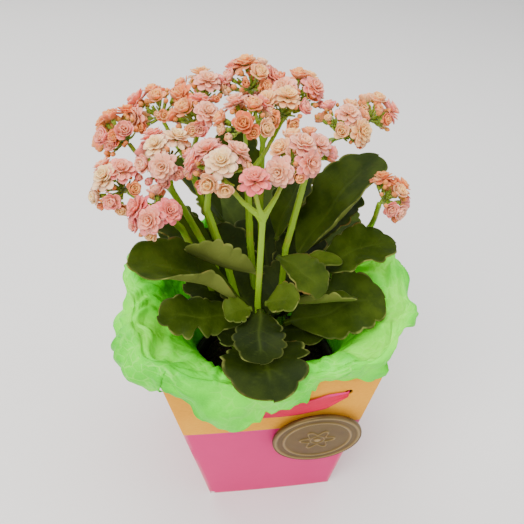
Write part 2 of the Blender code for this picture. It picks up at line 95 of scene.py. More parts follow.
def makePiece(name, points, quads, finish, layers=None, merge=2e-6, outward=False):
    # points in metres; layers are numbers or colours for each point, read by the finish
    mesh = bpy.data.meshes.new(name)
    points = np.asarray(points, float).reshape(-1, 3)
    quads = np.asarray(quads, int).reshape(-1, 4)
    mesh.vertices.add(len(points))
    mesh.vertices.foreach_set("co", points.ravel())
    mesh.loops.add(quads.size)
    mesh.loops.foreach_set("vertex_index", quads.ravel())
    mesh.polygons.add(len(quads))
    mesh.polygons.foreach_set("loop_start", np.arange(len(quads)) * 4)
    mesh.update(calc_edges=True)
    for key, values in (layers or {}).items():
        values = np.asarray(values, float)
        if values.ndim == 2:
            layer = mesh.attributes.new(key, "FLOAT_COLOR", "POINT")
            layer.data.foreach_set("color", np.column_stack([values, np.ones(len(values))]).ravel())
        else:
            layer = mesh.attributes.new(key, "FLOAT", "POINT")
            layer.data.foreach_set("value", values.ravel())
    if merge:
        shape = bmesh.new()
        shape.from_mesh(mesh)
        bmesh.ops.remove_doubles(shape, verts=shape.verts, dist=merge)
        bmesh.ops.dissolve_degenerate(shape, edges=shape.edges, dist=merge / 10)
        if outward:
            bmesh.ops.recalc_face_normals(shape, faces=shape.faces)
        shape.to_mesh(mesh)
        shape.free()
    mesh.validate()
    mesh.polygons.foreach_set("use_smooth", np.ones(len(mesh.polygons), bool))
    mesh.update()
    piece = bpy.data.objects.new(name, mesh)
    bpy.context.scene.collection.objects.link(piece)
    mesh.materials.append(finish)
    return piece


def applyModifiers(piece):
    made = bpy.data.meshes.new_from_object(piece.evaluated_get(bpy.context.evaluated_depsgraph_get()))
    piece.modifiers.clear()
    piece.data = made
    return piece


def place(piece, replaced=()):
    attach(piece, "root")
    if replaced:
        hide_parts(*replaced)
    return piece


# shader maths: a Wire is one output socket, and expressions on it add nodes

class Wire:
    def __init__(self, paint, socket):
        self.paint = paint
        self.socket = socket

    def math(self, operation, *values):
        return self.paint.node("ShaderNodeMath", {"operation": operation}, dict(enumerate(values)))

    def __add__(self, other):
        return self.math("ADD", self, other)

    def __sub__(self, other):
        return self.math("SUBTRACT", self, other)

    def __rsub__(self, other):
        return self.math("SUBTRACT", other, self)

    def __mul__(self, other):
        return self.math("MULTIPLY", self, other)

    def __truediv__(self, other):
        return self.math("DIVIDE", self, other)

    def __abs__(self):
        return self.math("ABSOLUTE", self)

    __radd__ = __add__
    __rmul__ = __mul__

    def step(self, low, high):
        # smooth 0 to 1 between low and high
        return self.paint.node("ShaderNodeMapRange", {"interpolation_type": "SMOOTHSTEP"},
                               {"Value": self, "From Min": low, "From Max": high})


class Paint:
    # one Principled material, its colour and relief given by expressions
    def __init__(self, name, **surface):
        self.material = bpy.data.materials.new(name)
        self.material.use_nodes = True
        self.nodes = self.material.node_tree.nodes
        self.links = self.material.node_tree.links
        self.shader = self.nodes["Principled BSDF"]
        for key, value in surface.items():
            socket = self.shader.inputs[key.replace("_", " ")]
            socket.default_value = (*value, 1.0) if socket.type == "RGBA" else value

    def node(self, kind, settings=None, values=None, output=0):
        made = self.nodes.new(kind)
        for key, value in (settings or {}).items():
            if key == "stops":
                ramp = made.color_ramp
                while len(ramp.elements) < len(value):
                    ramp.elements.new(0.5)
                for element, (position, colour) in zip(ramp.elements, value):
                    element.position = position
                    element.color = (*colour, 1.0)
            else:
                setattr(made, key, value)
        for key, value in (values or {}).items():
            socket = made.inputs[key]
            if isinstance(value, Wire):
                self.links.new(value.socket, socket)
            elif socket.type == "RGBA":
                socket.default_value = (*value, 1.0)
            else:
                socket.default_value = value
        return Wire(self, made.outputs[output])

    def where(self):
        return self.node("ShaderNodeTexCoord", output="Object")

    def layer(self, name, colour=False):
        return self.node("ShaderNodeAttribute", {"attribute_name": name}, output="Color" if colour else "Fac")

    def parts(self, vector):
        split = self.node("ShaderNodeSeparateXYZ", values={0: vector}).socket.node
        return [Wire(self, socket) for socket in split.outputs]

    def joined(self, x, y, z=0.0):
        return self.node("ShaderNodeCombineXYZ", values={0: x, 1: y, 2: z})

    def stretched(self, vector, scale):
        return self.node("ShaderNodeVectorMath", {"operation": "MULTIPLY"}, {0: vector, 1: scale})

    def away(self, vector, spot):
        return self.node("ShaderNodeVectorMath", {"operation": "DISTANCE"}, {0: vector, 1: spot}, "Value")

    def bands(self, vector, scale, direction="X", distortion=0.3):
        return self.node("ShaderNodeTexWave", {"wave_type": "BANDS", "bands_direction": direction},
                         {"Vector": vector, "Scale": scale, "Distortion": distortion, "Detail": 1.0}, "Fac")

    def noise(self, vector, scale, detail=3.0, roughness=0.5, distortion=0.0):
        return self.node("ShaderNodeTexNoise", None, {"Vector": vector, "Scale": scale, "Detail": detail,
                                                      "Roughness": roughness, "Distortion": distortion})

    def cells(self, vector, scale, feature="F1", randomness=1.0):
        return self.node("ShaderNodeTexVoronoi", {"feature": feature},
                         {"Vector": vector, "Scale": scale, "Randomness": randomness}, "Distance")

    def mix(self, factor, first, second, blend="MIX"):
        return self.node("ShaderNodeMix", {"data_type": "RGBA", "blend_type": blend},
                         {0: factor, 6: first, 7: second}, 2)

    def ramp(self, value, *stops):
        return self.node("ShaderNodeValToRGB", {"stops": stops}, {0: value})

    def relief(self, *layers):
        # bumps laid one on another, each (height, depth in metres, strength)
        below = None
        for height, depth, strength in layers:
            values = {"Height": height, "Distance": depth, "Strength": strength}
            if below:
                values["Normal"] = below
            below = self.node("ShaderNodeBump", None, values)
        self.feed("Normal", below)

    def feed(self, name, wire):
        self.links.new(wire.socket, self.shader.inputs[name])


# finishes

def kraftFinish():
    paint = Paint("card", Roughness=0.78, Specular_IOR_Level=0.28)
    spot = paint.where()
    z = paint.parts(spot)[2]
    fibre = paint.noise(paint.stretched(spot, (1.0, 1.0, 3.2)), 420, 5, 0.65)
    cloud = paint.noise(spot, 34, 3, 0.55)
    fleck = paint.noise(paint.stretched(spot, (1.0, 1.0, 5.0)), 900, 2, 0.5)
    card = paint.ramp(fibre * 0.6 + cloud * 0.4, (0.28, (0.74, 0.285, 0.008)), (0.52, (0.85, 0.365, 0.012)),
                      (0.74, (0.90, 0.45, 0.035)))
    card = paint.mix(fleck.step(0.62, 0.72) * 0.35, card, (0.42, 0.16, 0.02))
    outside = paint.layer("outside")
    ink = paint.mix(paint.noise(spot, 60, 4, 0.6), (0.66, 0.008, 0.150), (0.72, 0.014, 0.176))
    ink = paint.mix(fibre.step(0.60, 0.78) * 0.30, ink, (0.72, 0.07, 0.22))
    printed = (1 - (z + (fibre - 0.5) * 0.0006).step(0.0974, 0.0980)) * outside
    worn = paint.layer("edge") * (cloud * 0.8 + fleck * 0.6).step(0.52, 0.80)
    ink = paint.mix(worn * 0.55, ink, (0.80, 0.50, 0.46))
    nick = 1 - paint.away(spot, (-0.0450, -0.0458, 0.001)).step(0.0022, 0.0036)
    ink = paint.mix(nick * fibre.step(0.40, 0.50), ink, (0.86, 0.80, 0.78))
    card = paint.mix(paint.layer("raw"), card, (0.83, 0.58, 0.33))
    paint.feed("Base Color", paint.mix(printed, card, ink))
    paint.feed("Roughness", 0.80 - printed * 0.22 + fibre * 0.06)
    paint.relief((fibre, 0.00008, 0.55), (cloud, 0.0004, 0.25))
    return paint.material


def satinFinish():
    paint = Paint("satin", Roughness=0.46, Specular_IOR_Level=0.12)
    along, across = paint.layer("along"), paint.layer("across")
    weave = paint.joined(along, across)
    thread = paint.bands(weave, 520.0, "X", 0.6)
    rib = paint.bands(weave, 900.0, "Y", 0.2)
    tone = paint.noise(paint.joined(along * 6, across * 60), 12, 3, 0.5)
    colour = paint.mix(tone, (0.60, 0.002, 0.040), (0.74, 0.004, 0.070))
    # the "back" layer paints a lighter pink on the upper edge near the right end: a painted sheen
    colour = paint.mix(paint.layer("back"), colour, (0.78, 0.015, 0.22))
    edge = (abs(across) / 0.0075).step(0.86, 0.97)
    colour = paint.mix(edge * 0.35, colour, (0.60, 0.004, 0.05))
    paint.feed("Base Color", colour)
    paint.feed("Roughness", 0.38 + tone * 0.12)
    paint.relief((thread, 0.00003, 0.5), (rib, 0.00003, 0.35))
    return paint.material


def bronzeFinish():
    paint = Paint("bronze", Metallic=0.78, Roughness=0.38, Specular_IOR_Level=0.5)
    spot = paint.where()
    grain = paint.noise(spot, 1500, 3, 0.6)
    cloud = paint.noise(spot, 90, 4, 0.6)
    colour = paint.ramp(cloud, (0.30, (0.105, 0.064, 0.019)), (0.55, (0.130, 0.082, 0.024)),
                        (0.78, (0.160, 0.104, 0.034)))
    # the raised relief is painted lighter and the low ground beside the ring and the rim bead darker: painted
    # highlight and painted shade on the embossing
    colour = paint.mix(paint.layer("raised") * 0.75, colour, (0.38, 0.265, 0.11))
    colour = paint.mix(paint.layer("sunk") * 0.45, colour, (0.085, 0.052, 0.018))
    paint.feed("Base Color", colour)
    paint.feed("Roughness", 0.34 + grain * 0.14 + cloud * 0.08)
    paint.relief((grain, 0.00002, 0.5), (cloud, 0.0001, 0.2))
    return paint.material


def foamFinish():
    paint = Paint("foam", Roughness=0.92, Specular_IOR_Level=0.2)
    spot = paint.where()
    pores = paint.cells(spot, 1700)
    # the pores are painted darker than the foam: painted shade inside them
    paint.feed("Base Color", paint.mix(pores.step(0.1, 0.5), (0.62, 0.62, 0.60), (0.84, 0.84, 0.82)))
    paint.relief((pores, 0.0003, 0.8))
    return paint.material


def tissueFinish():
    paint = Paint("tissue", Roughness=0.46, Specular_IOR_Level=0.20)
    sheet = paint.joined(paint.layer("along"), paint.layer("across"))
    fibre = paint.noise(paint.stretched(sheet, (1.0, 2.4, 1.0)), 900, 4, 0.6)
    cloud = paint.noise(sheet, 30, 3, 0.55)
    small = paint.cells(paint.stretched(sheet, (1.0, 1.3, 1.0)), 150, "DISTANCE_TO_EDGE")
    fine = paint.cells(sheet, 330, "DISTANCE_TO_EDGE")
    crease = (1 - small.step(0.0, 0.10)) * cloud.step(0.40, 0.60)
    # "height" runs from the sheet's hollows (0) to its raised folds (1) and makes the colour darker in the
    # hollows and lighter on the folds: painted shade and painted light, with random cloud and fibre tone
    colour = paint.ramp(cloud * 0.5 + fibre * 0.25 + paint.layer("height") * 0.35,
                        (0.30, (0.040, 0.50, 0.004)), (0.52, (0.11, 0.82, 0.007)),
                        (0.78, (0.22, 0.93, 0.020)))
    # the crease lines, where the cloud is light, are painted lighter: a painted highlight along the ridges
    colour = paint.mix(crease * 0.40, colour, (0.36, 0.93, 0.12))
    paint.feed("Base Color", colour)
    paint.feed("Roughness", 0.36 + cloud * 0.12 + fibre * 0.06)
    paint.relief((small.step(0.0, 0.35), 0.0006, 0.30), (fine.step(0.0, 0.4), 0.0002, 0.18),
                 (fibre, 0.00005, 0.4))
    return paint.material


def potFinish():
    paint = Paint("pot plastic", Roughness=0.5, Specular_IOR_Level=0.45)
    spot = paint.where()
    speck = paint.noise(spot, 700, 3, 0.6)
    dust = paint.noise(spot, 45, 4, 0.6)
    colour = paint.mix(dust.step(0.45, 0.75) * 0.4, (0.020, 0.010, 0.007), (0.050, 0.030, 0.018))
    paint.feed("Base Color", colour)
    paint.feed("Roughness", 0.42 + dust * 0.3)
    paint.relief((speck, 0.00004, 0.5))
    return paint.material


def soilFinish():
    paint = Paint("potting soil", Roughness=0.95, Specular_IOR_Level=0.15)
    spot = paint.where()
    crumb = paint.cells(spot, 420)
    grain = paint.noise(spot, 900, 5, 0.7)
    damp = paint.noise(spot, 40, 3, 0.5)
    colour = paint.ramp(grain * 0.7 + crumb * 0.5, (0.25, (0.006, 0.004, 0.002)),
                        (0.55, (0.016, 0.010, 0.005)), (0.85, (0.040, 0.026, 0.014)))
    bead = 1 - paint.cells(spot, 130).step(0.16, 0.20)
    colour = paint.mix(bead * damp.step(0.60, 0.68), colour, (0.20, 0.17, 0.13))
    paint.feed("Base Color", colour)
    paint.relief((crumb, 0.0012, 0.9), (grain, 0.0006, 0.7))
    return paint.material


def stalkFinish():
    paint = Paint("stalk skin", Roughness=0.46, Specular_IOR_Level=0.30,
                  Subsurface_Weight=0.18, Subsurface_Scale=0.002, Subsurface_Radius=(0.6, 1.0, 0.3))
    spot = paint.where()
    z = paint.parts(spot)[2]
    streak = paint.noise(paint.stretched(spot, (1.0, 1.0, 0.16)), 560, 4, 0.6)
    blotch = paint.noise(spot, 70, 3, 0.5)
    colour = paint.ramp((z - 0.10) * 6.5 + (blotch - 0.5) * 0.35, (0.05, (0.060, 0.135, 0.008)),
                        (0.45, (0.145, 0.285, 0.004)), (0.95, (0.22, 0.37, 0.008)))
    colour = paint.mix(streak.step(0.55, 0.75) * 0.45, colour, (0.28, 0.42, 0.012))
    colour = paint.mix(paint.layer("node") * 0.6, colour, (0.28, 0.30, 0.03))
    paint.feed("Base Color", colour)
    paint.relief((streak, 0.0002, 0.4), (blotch, 0.0003, 0.2))
    return paint.material


def leafFinish():
    paint = Paint("leaf skin", Roughness=0.52, Specular_IOR_Level=0.06)
    spot = paint.where()
    under, rim, young, vein = [paint.layer(name) for name in ("under", "rim", "young", "vein")]
    blotch = paint.noise(spot, 55, 4, 0.6)
    cell = paint.noise(spot, 900, 4, 0.65)
    pore = paint.cells(spot, 1400)
    top = paint.mix(blotch.step(0.32, 0.70), (0.019, 0.036, 0.0026), (0.045, 0.073, 0.0054))
    fresh = paint.mix(blotch.step(0.32, 0.70), (0.050, 0.088, 0.005), (0.100, 0.150, 0.009))
    top = paint.mix(young, top, fresh)
    # a tone below 1 darkens the whole top face towards black: painted shade on the leaves given a tone below
    # 1
    top = paint.mix(paint.layer("tone"), (0.0, 0.0, 0.0), top)
    top = paint.mix(vein * 0.30, top, (0.070, 0.105, 0.012))
    top = paint.mix(cell.step(0.55, 0.85) * 0.18, top, (0.075, 0.11, 0.022))
    below = paint.mix(blotch, (0.085, 0.110, 0.016), (0.135, 0.160, 0.028))
    below = paint.mix(vein * 0.35, below, (0.20, 0.22, 0.06))
    colour = paint.mix(under, top, below)
    edge = paint.mix(blotch.step(0.50, 0.66), (0.23, 0.26, 0.060), (0.20, 0.085, 0.025))
    patchy = paint.noise(spot, 120, 2, 0.5).step(0.46, 0.60)
    colour = paint.mix(rim * (0.12 + patchy * 0.62), colour, edge)
    paint.feed("Base Color", colour)
    paint.feed("Roughness", 0.44 + under * 0.14 + blotch * 0.10 + cell * 0.05)
    paint.relief((vein, 0.0006, 0.35), (pore, 0.00008, 0.35), (blotch, 0.0015, 0.30), (cell, 0.00012, 0.35))
    return paint.material


def petalFinish():
    paint = Paint("petals", Roughness=0.55, Specular_IOR_Level=0.3, Sheen_Weight=0.12,
                  Subsurface_Weight=0.20, Subsurface_Scale=0.0025, Subsurface_Radius=(1.0, 0.5, 0.4))
    colour = paint.layer("shade", True)
    spot = paint.where()
    mottle = paint.noise(spot, 620, 4, 0.6)
    line = paint.noise(paint.joined(paint.layer("across") * 9, paint.layer("along")), 3.0, 2, 0.5)
    colour = paint.mix(mottle.step(0.45, 0.8) * 0.25, colour, (1.0, 0.93, 0.88), "MULTIPLY")
    colour = paint.mix(line.step(0.5, 0.8) * 0.16, colour, (0.93, 0.55, 0.60), "MULTIPLY")
    paint.feed("Base Color", colour)
    paint.relief((mottle, 0.00012, 0.4), (line, 0.0002, 0.3))
    return paint.material


# gift box

boxLook = {"belly": 1.4 * mm, "card": 0.9 * mm, "cornerRadius": 0.8 * mm, "holeRadius": 2.5 * mm,
           "holeReach": 46 * mm, "holeDrop": 20.7 * mm}

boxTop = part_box("gift_box")[1].z
boxCorners = vertexPlaces("gift_box")
halfAt = {level: np.abs(boxCorners[np.abs(boxCorners[:, 2] - level) < 1e-5][:, :2]).min(1).max()
          for level in (0.0, float(boxTop))}
bottomHalf, topHalf = halfAt.values()
holeLevel = boxTop - boxLook["holeDrop"]
wallLean = math.atan2(topHalf - bottomHalf, boxTop)


def wallDistance(height, along=0.0):
    # half-width growing evenly with height, plus a belly that fades to nothing at the corners
    half = bottomHalf + (topHalf - bottomHalf) * height / boxTop
    belly = boxLook["belly"] * np.sin(np.pi * (0.15 + 0.75 * height / boxTop))
    return half + belly * np.maximum(0, 1 - (along / half) ** 2)


def boxRings(height, inset, scale):
    # turns round the box, row by row: four bowed sides joined by quarter-circle corners
    height, inset, scale = [np.asarray(v, float)[:, None] for v in (height, inset, scale)]
    half = bottomHalf + (topHalf - bottomHalf) * height / boxTop
    corner = boxLook["cornerRadius"]
    share = np.sin(np.linspace(-1, 1, 23) * np.pi / 2)[None, :]
    along = share * (half - corner)
    out = wallDistance(height, along) - inset
    along = along * (half - corner - inset) / (half - corner)
    arc = np.radians(np.array([22.5, 45.0, 67.5]))[None, :]
    bend = np.maximum(corner - inset * 0.5, 0.0002)
    middle = half - inset - bend
    along = np.concatenate([along, middle + bend * np.sin(arc)], 1) * scale
    out = np.concatenate([out, middle + bend * np.cos(arc)], 1) * scale
    level = np.broadcast_to(height, along.shape)
    sides = []
    for quarter in range(4):
        c, s = round(math.cos(quarter * math.pi / 2)), round(math.sin(quarter * math.pi / 2))
        sides.append(np.stack([along * c + out * s, along * s - out * c, level], -1))
    return np.concatenate(sides, 1)


def holePunch(x, y, z, radius, length, axis):
    # a round cutter: rows of a circle along its axis, closed to a point at each end
    reach = np.array([-0.5, -0.5, 0.5, 0.5])[:, None] * length
    wide = np.array([0, 1, 1, 0])[:, None] * radius
    turn = np.linspace(0, 2 * np.pi, 24, endpoint=False)[None, :]
    a, b = wide * np.cos(turn), wide * np.sin(turn)
    c = np.broadcast_to(reach, a.shape)
    points = np.stack([a, c, b] if axis == "y" else [a, b, c], -1) + (x, y, z)
    return makePiece("punch", points, gridQuads(4, 24, closeColumns=True), None, outward=True)


def punched(piece, cutters):
    for cutter in cutters:
        step = piece.modifiers.new("hole", "BOOLEAN")
        step.object, step.solver = cutter, "EXACT"
    applyModifiers(piece)
    for cutter in cutters:
        bpy.data.objects.remove(cutter)
    return piece


def makeBox():
    card, top = boxLook["card"], float(boxTop)
    walls = np.concatenate([[0.0, 0.4 * mm], np.linspace(2 * mm, top - 1.2 * mm, 44), [top - 0.25 * mm]])
    rows = [(0, 0, 0.0), (0, 0, 0.5), (0, 0, 0.985)]
    rows += [(z, 0 if z > 0.2 * mm else 0.15 * mm, 1) for z in walls]
    rows += [(top, card * 0.3, 1), (top, card * 0.7, 1), (top - 0.25 * mm, card, 1)]
    rows += [(z, card, 1) for z in np.linspace(top - 1.2 * mm, card * 1.5, 30)]
    rows += [(card, card, 0.98), (card, card, 0.5), (card, card, 0.0)]
    rows = np.array(rows)
    points = boxRings(*rows.T)
    size = points.shape[1]
    outside = np.zeros(len(rows))
    outside[:len(walls) + 3] = 1
    raw = np.zeros(len(rows))
    raw[len(walls) + 3:len(walls) + 5] = 1
    fromCorner = np.abs(np.abs(points[..., 0]) - np.abs(points[..., 1]))
    edge = np.maximum(hump(fromCorner, 0, 1.6 * mm), hump(points[..., 2], 0, 1.2 * mm))
    layers = {"outside": np.repeat(outside, size), "raw": np.repeat(raw, size), "edge": edge.ravel()}
    box = makePiece("box_card", points, gridQuads(len(rows), size, closeColumns=True), kraftFinish(), layers,
                    outward=True)
    reach = boxLook["holeReach"]
    punched(box, [holePunch(x, 0, holeLevel, boxLook["holeRadius"], 0.2, "y") for x in (-reach, reach)])
    box.data.set_sharp_from_angle(angle=math.radians(38))
    return place(box, ["gift_box"])


# ribbons

ribbonLook = {"width": 15 * mm, "thickness": 0.28 * mm, "sag": 13 * mm, "standOff": 1.1 * mm,
              "curl": 1.3 * mm, "pleat": 1.1 * mm, "knot": 2.7 * mm}


def makeRibbon(name, side, finish, flip):
    # a band along the wall: its middle sags as a parabola, it narrows into pleats at each hole
    look = ribbonLook
    t = np.linspace(-1, 1, 150)[:, None]
    v = np.linspace(-1, 1, 17)[None, :]
    reach = boxLook["holeReach"]
    inner = smoothStep(np.abs(t), 0.93, 1.0)
    x = reach * np.clip(t / 0.955, -1, 1) * np.ones_like(v)
    fill = np.minimum(1.0, 0.22 + 2.6 * (1 - np.abs(t) / 0.965).clip(0))
    width = look["width"] * fill * (1 - 0.10 * hump(t, 0.5, 0.2))
    z = holeLevel - look["sag"] * (1 - (x / reach) ** 2) + v * width / 2 * math.cos(wallLean)
    z = holeLevel + (z - holeLevel) * (1 - 0.35 * inner)
    pleats = look["pleat"] * (1 - fill) * np.cos(2 * np.pi * 1.25 * v + 0.6)
    curl = look["curl"] * fill * (0.55 * v ** 2 + 0.35 * np.sin(2.1 * v + 3.0 * t + 0.4)
                                  + 0.25 * np.sin(5.0 * t + 1.2 * v))
    lift = look["standOff"] + np.maximum(curl, -0.5 * mm) + pleats
    out = wallDistance(z, x) + lift * (1 - inner) - inner * (boxLook["card"] + 2.2 * mm)
    twist = 1.0 if flip else -1.0
    points = np.stack([x * -side * twist, -out * side, z], -1)
    across = np.broadcast_to(v * width / 2, points.shape[:2])
    along = np.broadcast_to(t * 0.095, points.shape[:2])
    # back: where the painted sheen lies, on the upper edge near the right end
    back = smoothStep(v, 0.45, 0.8) * hump(t, 0.80, 0.16)
    ribbon = makePiece(name, points, gridQuads(150, 17), finish,
                       {"along": along.ravel(), "across": across.ravel(), "back": back.ravel()})
    wall = ribbon.modifiers.new("thickness", "SOLIDIFY")
    wall.thickness, wall.offset = look["thickness"], 0
    applyModifiers(ribbon)
    turnOutward(ribbon)
    knots = makeKnots(name + "_knots", side, finish)
    place(ribbon, ["ribbon_" + name.split("_")[1]])
    place(knots)
    return ribbon


def turnOutward(piece):
    shape = bmesh.new()
    shape.from_mesh(piece.data)
    bmesh.ops.recalc_face_normals(shape, faces=shape.faces)
    shape.to_mesh(piece.data)
    shape.free()


def makeKnots(name, side, finish):
    # two small overhand knots behind the holes: a fat band wound as a three-lobed loop
    turns, sides = 72, 10
    u = np.linspace(0, 2 * np.pi, turns, endpoint=False)[:, None]
    w = np.linspace(0, 2 * np.pi, sides, endpoint=False)[None, :]
    size = ribbonLook["knot"]
    middle = np.stack([np.sin(u) + 0.6 * np.sin(2 * u), np.cos(u) - 0.6 * np.cos(2 * u),
                       -0.5 * np.sin(3 * u)], -1)
    radius = size * (0.52 + 0.10 * np.cos(3 * u))
    way = unit(np.roll(middle, -1, 0) - np.roll(middle, 1, 0))
    flat = unit(np.cross(way, [0.0, 0.0, 1.0]))
    rise = np.cross(way, flat)
    ring = np.cos(w)[..., None] * flat * 0.7 + np.sin(w)[..., None] * rise
    tube = middle * size * 0.62 + radius[..., None] * ring
    points, quads = [], []
    for x in (-boxLook["holeReach"], boxLook["holeReach"]):
        inside = float(wallDistance(holeLevel, x)) - boxLook["card"] - 4.4 * mm
        quads.append(gridQuads(turns, sides, True, True) + len(points) * turns * sides)
        across, out = tube[..., 0] + x, -side * (inside + tube[..., 2])
        points.append(np.stack([across, out, tube[..., 1] + holeLevel], -1))
    count = len(points) * turns * sides
    # the knots carry no painted sheen ("back" is zero)
    layers = {"along": np.linspace(0, 0.1, count), "across": np.zeros(count), "back": np.zeros(count)}
    return makePiece(name, np.concatenate(points), np.concatenate(quads), finish, layers, outward=True)


# seal and its foam pad

sealLook = {"rim": 2.1 * mm, "ringInset": 7.6 * mm, "relief": 0.8 * mm, "rosette": 9.0 * mm, "petals": 6,
            "wave": 2.6 * mm, "line": 0.62 * mm}


def turnedFrame(node):
    # the middle, the outward direction and two directions across a flat round CAD node
    corners = vertexPlaces(node)
    middle = (corners.min(0) + corners.max(0)) / 2
    out = np.linalg.svd(corners - corners.mean(0), full_matrices=False)[2][2]
    out = out * -np.sign(out[1])
    across = unit(np.cross([0.0, 0.0, 1.0], out))
    up = np.cross(out, across)
    depth = (corners - middle) @ out
    radius = np.abs((corners - middle) @ across).max()
    return middle, out, across, up, depth.min(), depth.max(), radius


def makeSeal():
    look = sealLook
    middle, out, across, up, low, high, radius = turnedFrame("seal_disc")
    thick = high - low
    rings = 118
    rounding = radius - np.array([0.5, 0.2, 0.0, 0.0, 0.15, 0.6]) * mm
    r = np.concatenate([np.linspace(0, radius - 0.9 * mm, rings), rounding, [radius * 0.5, 0.0]])[:, None]
    turn = np.linspace(0, 2 * np.pi, 144, endpoint=False)[None, :]
    bead = hump(r, radius - look["rim"], 1.1 * mm) ** 1.5
    ring = hump(r, radius - look["ringInset"], 0.75 * mm)
    rosette = hump(r, look["rosette"] + look["wave"] * np.cos(look["petals"] * turn), look["line"])
    button = 1 - smoothStep(r, 1.6 * mm, 2.6 * mm)
    leaflet = hump(r, look["rosette"] * 0.52, 0.5 * mm) * 0.6
    # the raised parts of the relief; the same mask gives the painted highlight on them
    raised = np.maximum.reduce([bead + 0 * turn, ring + 0 * turn, rosette, button + 0 * turn,
                                leaflet + 0 * turn])
    face = thick - look["relief"] + look["relief"] * raised + 0.25 * mm * (1 - (r / radius) ** 2)
    edge = np.array([0.92, 0.80, 0.62, 0.25, 0.06, 0.0])[:, None] * thick
    height = np.where(np.arange(len(r))[:, None] < rings, face, 0)
    height[118:124] = edge
    height[124:] = 0
    points = (middle + out * low + (r * np.cos(turn))[..., None] * across + (r * np.sin(turn))[..., None] * up
              + height[..., None] * out)
    front = (np.arange(len(r)) < 119)[:, None] * np.ones_like(turn)
    # the low ground just outside the inner ring and just inside the rim bead, painted darker as shade
    sunk = front * np.clip(hump(r, radius - look["ringInset"] + 1.5 * mm, 0.6 * mm)
                           + hump(r, radius - look["rim"] - 2.0 * mm, 0.6 * mm), 0, 1)
    seal = makePiece("seal_disc_embossed", points, gridQuads(len(r), 144, closeColumns=True), bronzeFinish(),
                     {"raised": (front * raised).ravel(), "sunk": sunk.ravel()}, outward=True)
    return place(seal, ["seal_disc"])


def makePad():
    middle, out, across, up, low, high, radius = turnedFrame("seal_pad")
    turn = np.linspace(0, 2 * np.pi, 64, endpoint=False)[None, :]
    depth = np.array([low, low, low + 0.1 * mm, 0, high - 0.1 * mm, high, high])[:, None]
    wide = np.array([0, 0.97, 1.0, 0.985, 1.0, 0.97, 0])[:, None] * radius
    wide = wide * (1 + 0.006 * np.sin(9 * turn))
    points = middle + (wide * np.cos(turn))[..., None] * across + (wide * np.sin(turn))[..., None] * up
    points = points + depth[..., None] * out
    pad = makePiece("seal_foam_pad", points, gridQuads(7, 64, closeColumns=True), foamFinish(), outward=True)
    place(pad, ["seal_pad"])
    return pad


# pot and soil

potLook = {"wall": 1.2 * mm, "lip": 2.2 * mm, "band": 9 * mm, "drainRadius": 4.5 * mm, "drains": 6,
           "floor": 2.2 * mm}
soilLook = {"lump": 1.1 * mm, "seed": 5}


def turned(profile, columns):
    # a profile of (radius, height) carried round the upright axis
    profile = np.array(profile, float)
    turn = np.linspace(0, 2 * np.pi, columns, endpoint=False)[None, :]
    r, z = profile[:, :1], profile[:, 1:]
    return np.stack([r * np.cos(turn), r * np.sin(turn), z + 0 * turn], -1)


def makePot():
    look = potLook
    low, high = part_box("nursery_pot")
    rim, top, base = high.x, high.z, low.z
    corners = vertexPlaces("nursery_pot")
    foot = np.abs(corners[corners[:, 2] < base + 1.2 * mm][:, 0]).max()
    height = top - base
    wallAt = lambda z: foot + (rim - look["lip"] - foot) * (z - base) / height
    profile = [(0, base), (foot * 0.5, base), (foot - 1.2 * mm, base), (foot - 0.3 * mm, base + 0.3 * mm),
               (foot, base + 1.2 * mm)]
    profile += [(wallAt(z), z) for z in np.linspace(base + 3 * mm, top - look["band"] - 0.4 * mm, 14)]
    profile += [(rim - 0.5 * mm, top - look["band"]), (rim, top - look["band"] + 0.5 * mm),
                (rim, top - 0.6 * mm), (rim - 0.25 * mm, top - 0.15 * mm), (rim - 0.9 * mm, top),
                (rim - look["lip"] - 0.4 * mm, top)]
    inner = np.linspace(top - 0.8 * mm, base + look["floor"] + 1 * mm, 16)
    profile += [(wallAt(z) - look["wall"], z) for z in inner]
    profile += [(foot * 0.5, base + look["floor"]), (0, base + look["floor"])]
    pot = makePiece("nursery_pot_moulded", turned(profile, 112),
                    gridQuads(len(profile), 112, closeColumns=True),
                    potFinish(), outward=True)
    turns = [k * math.pi / 3 for k in range(look["drains"])]
    spots = [(0.66 * foot * math.cos(turn), 0.66 * foot * math.sin(turn)) for turn in turns]
    punched(pot, [holePunch(x, y, base, look["drainRadius"], 0.016, "z") for x, y in spots])
    pot.data.set_sharp_from_angle(angle=math.radians(42))
    return place(pot, ["nursery_pot"])


def waves(points, size, draw, count=7):
    # a smooth wandering number near -1 to 1: sines in random directions about one wavelength
    way = unit(draw.normal(size=(count, 3)))
    phase = draw.uniform(0, 2 * np.pi, count)
    stretch = draw.uniform(0.7, 1.5, count)
    total = np.sin((points @ way.T) * (2 * np.pi / size * stretch) + phase).sum(-1)
    return total / math.sqrt(count)


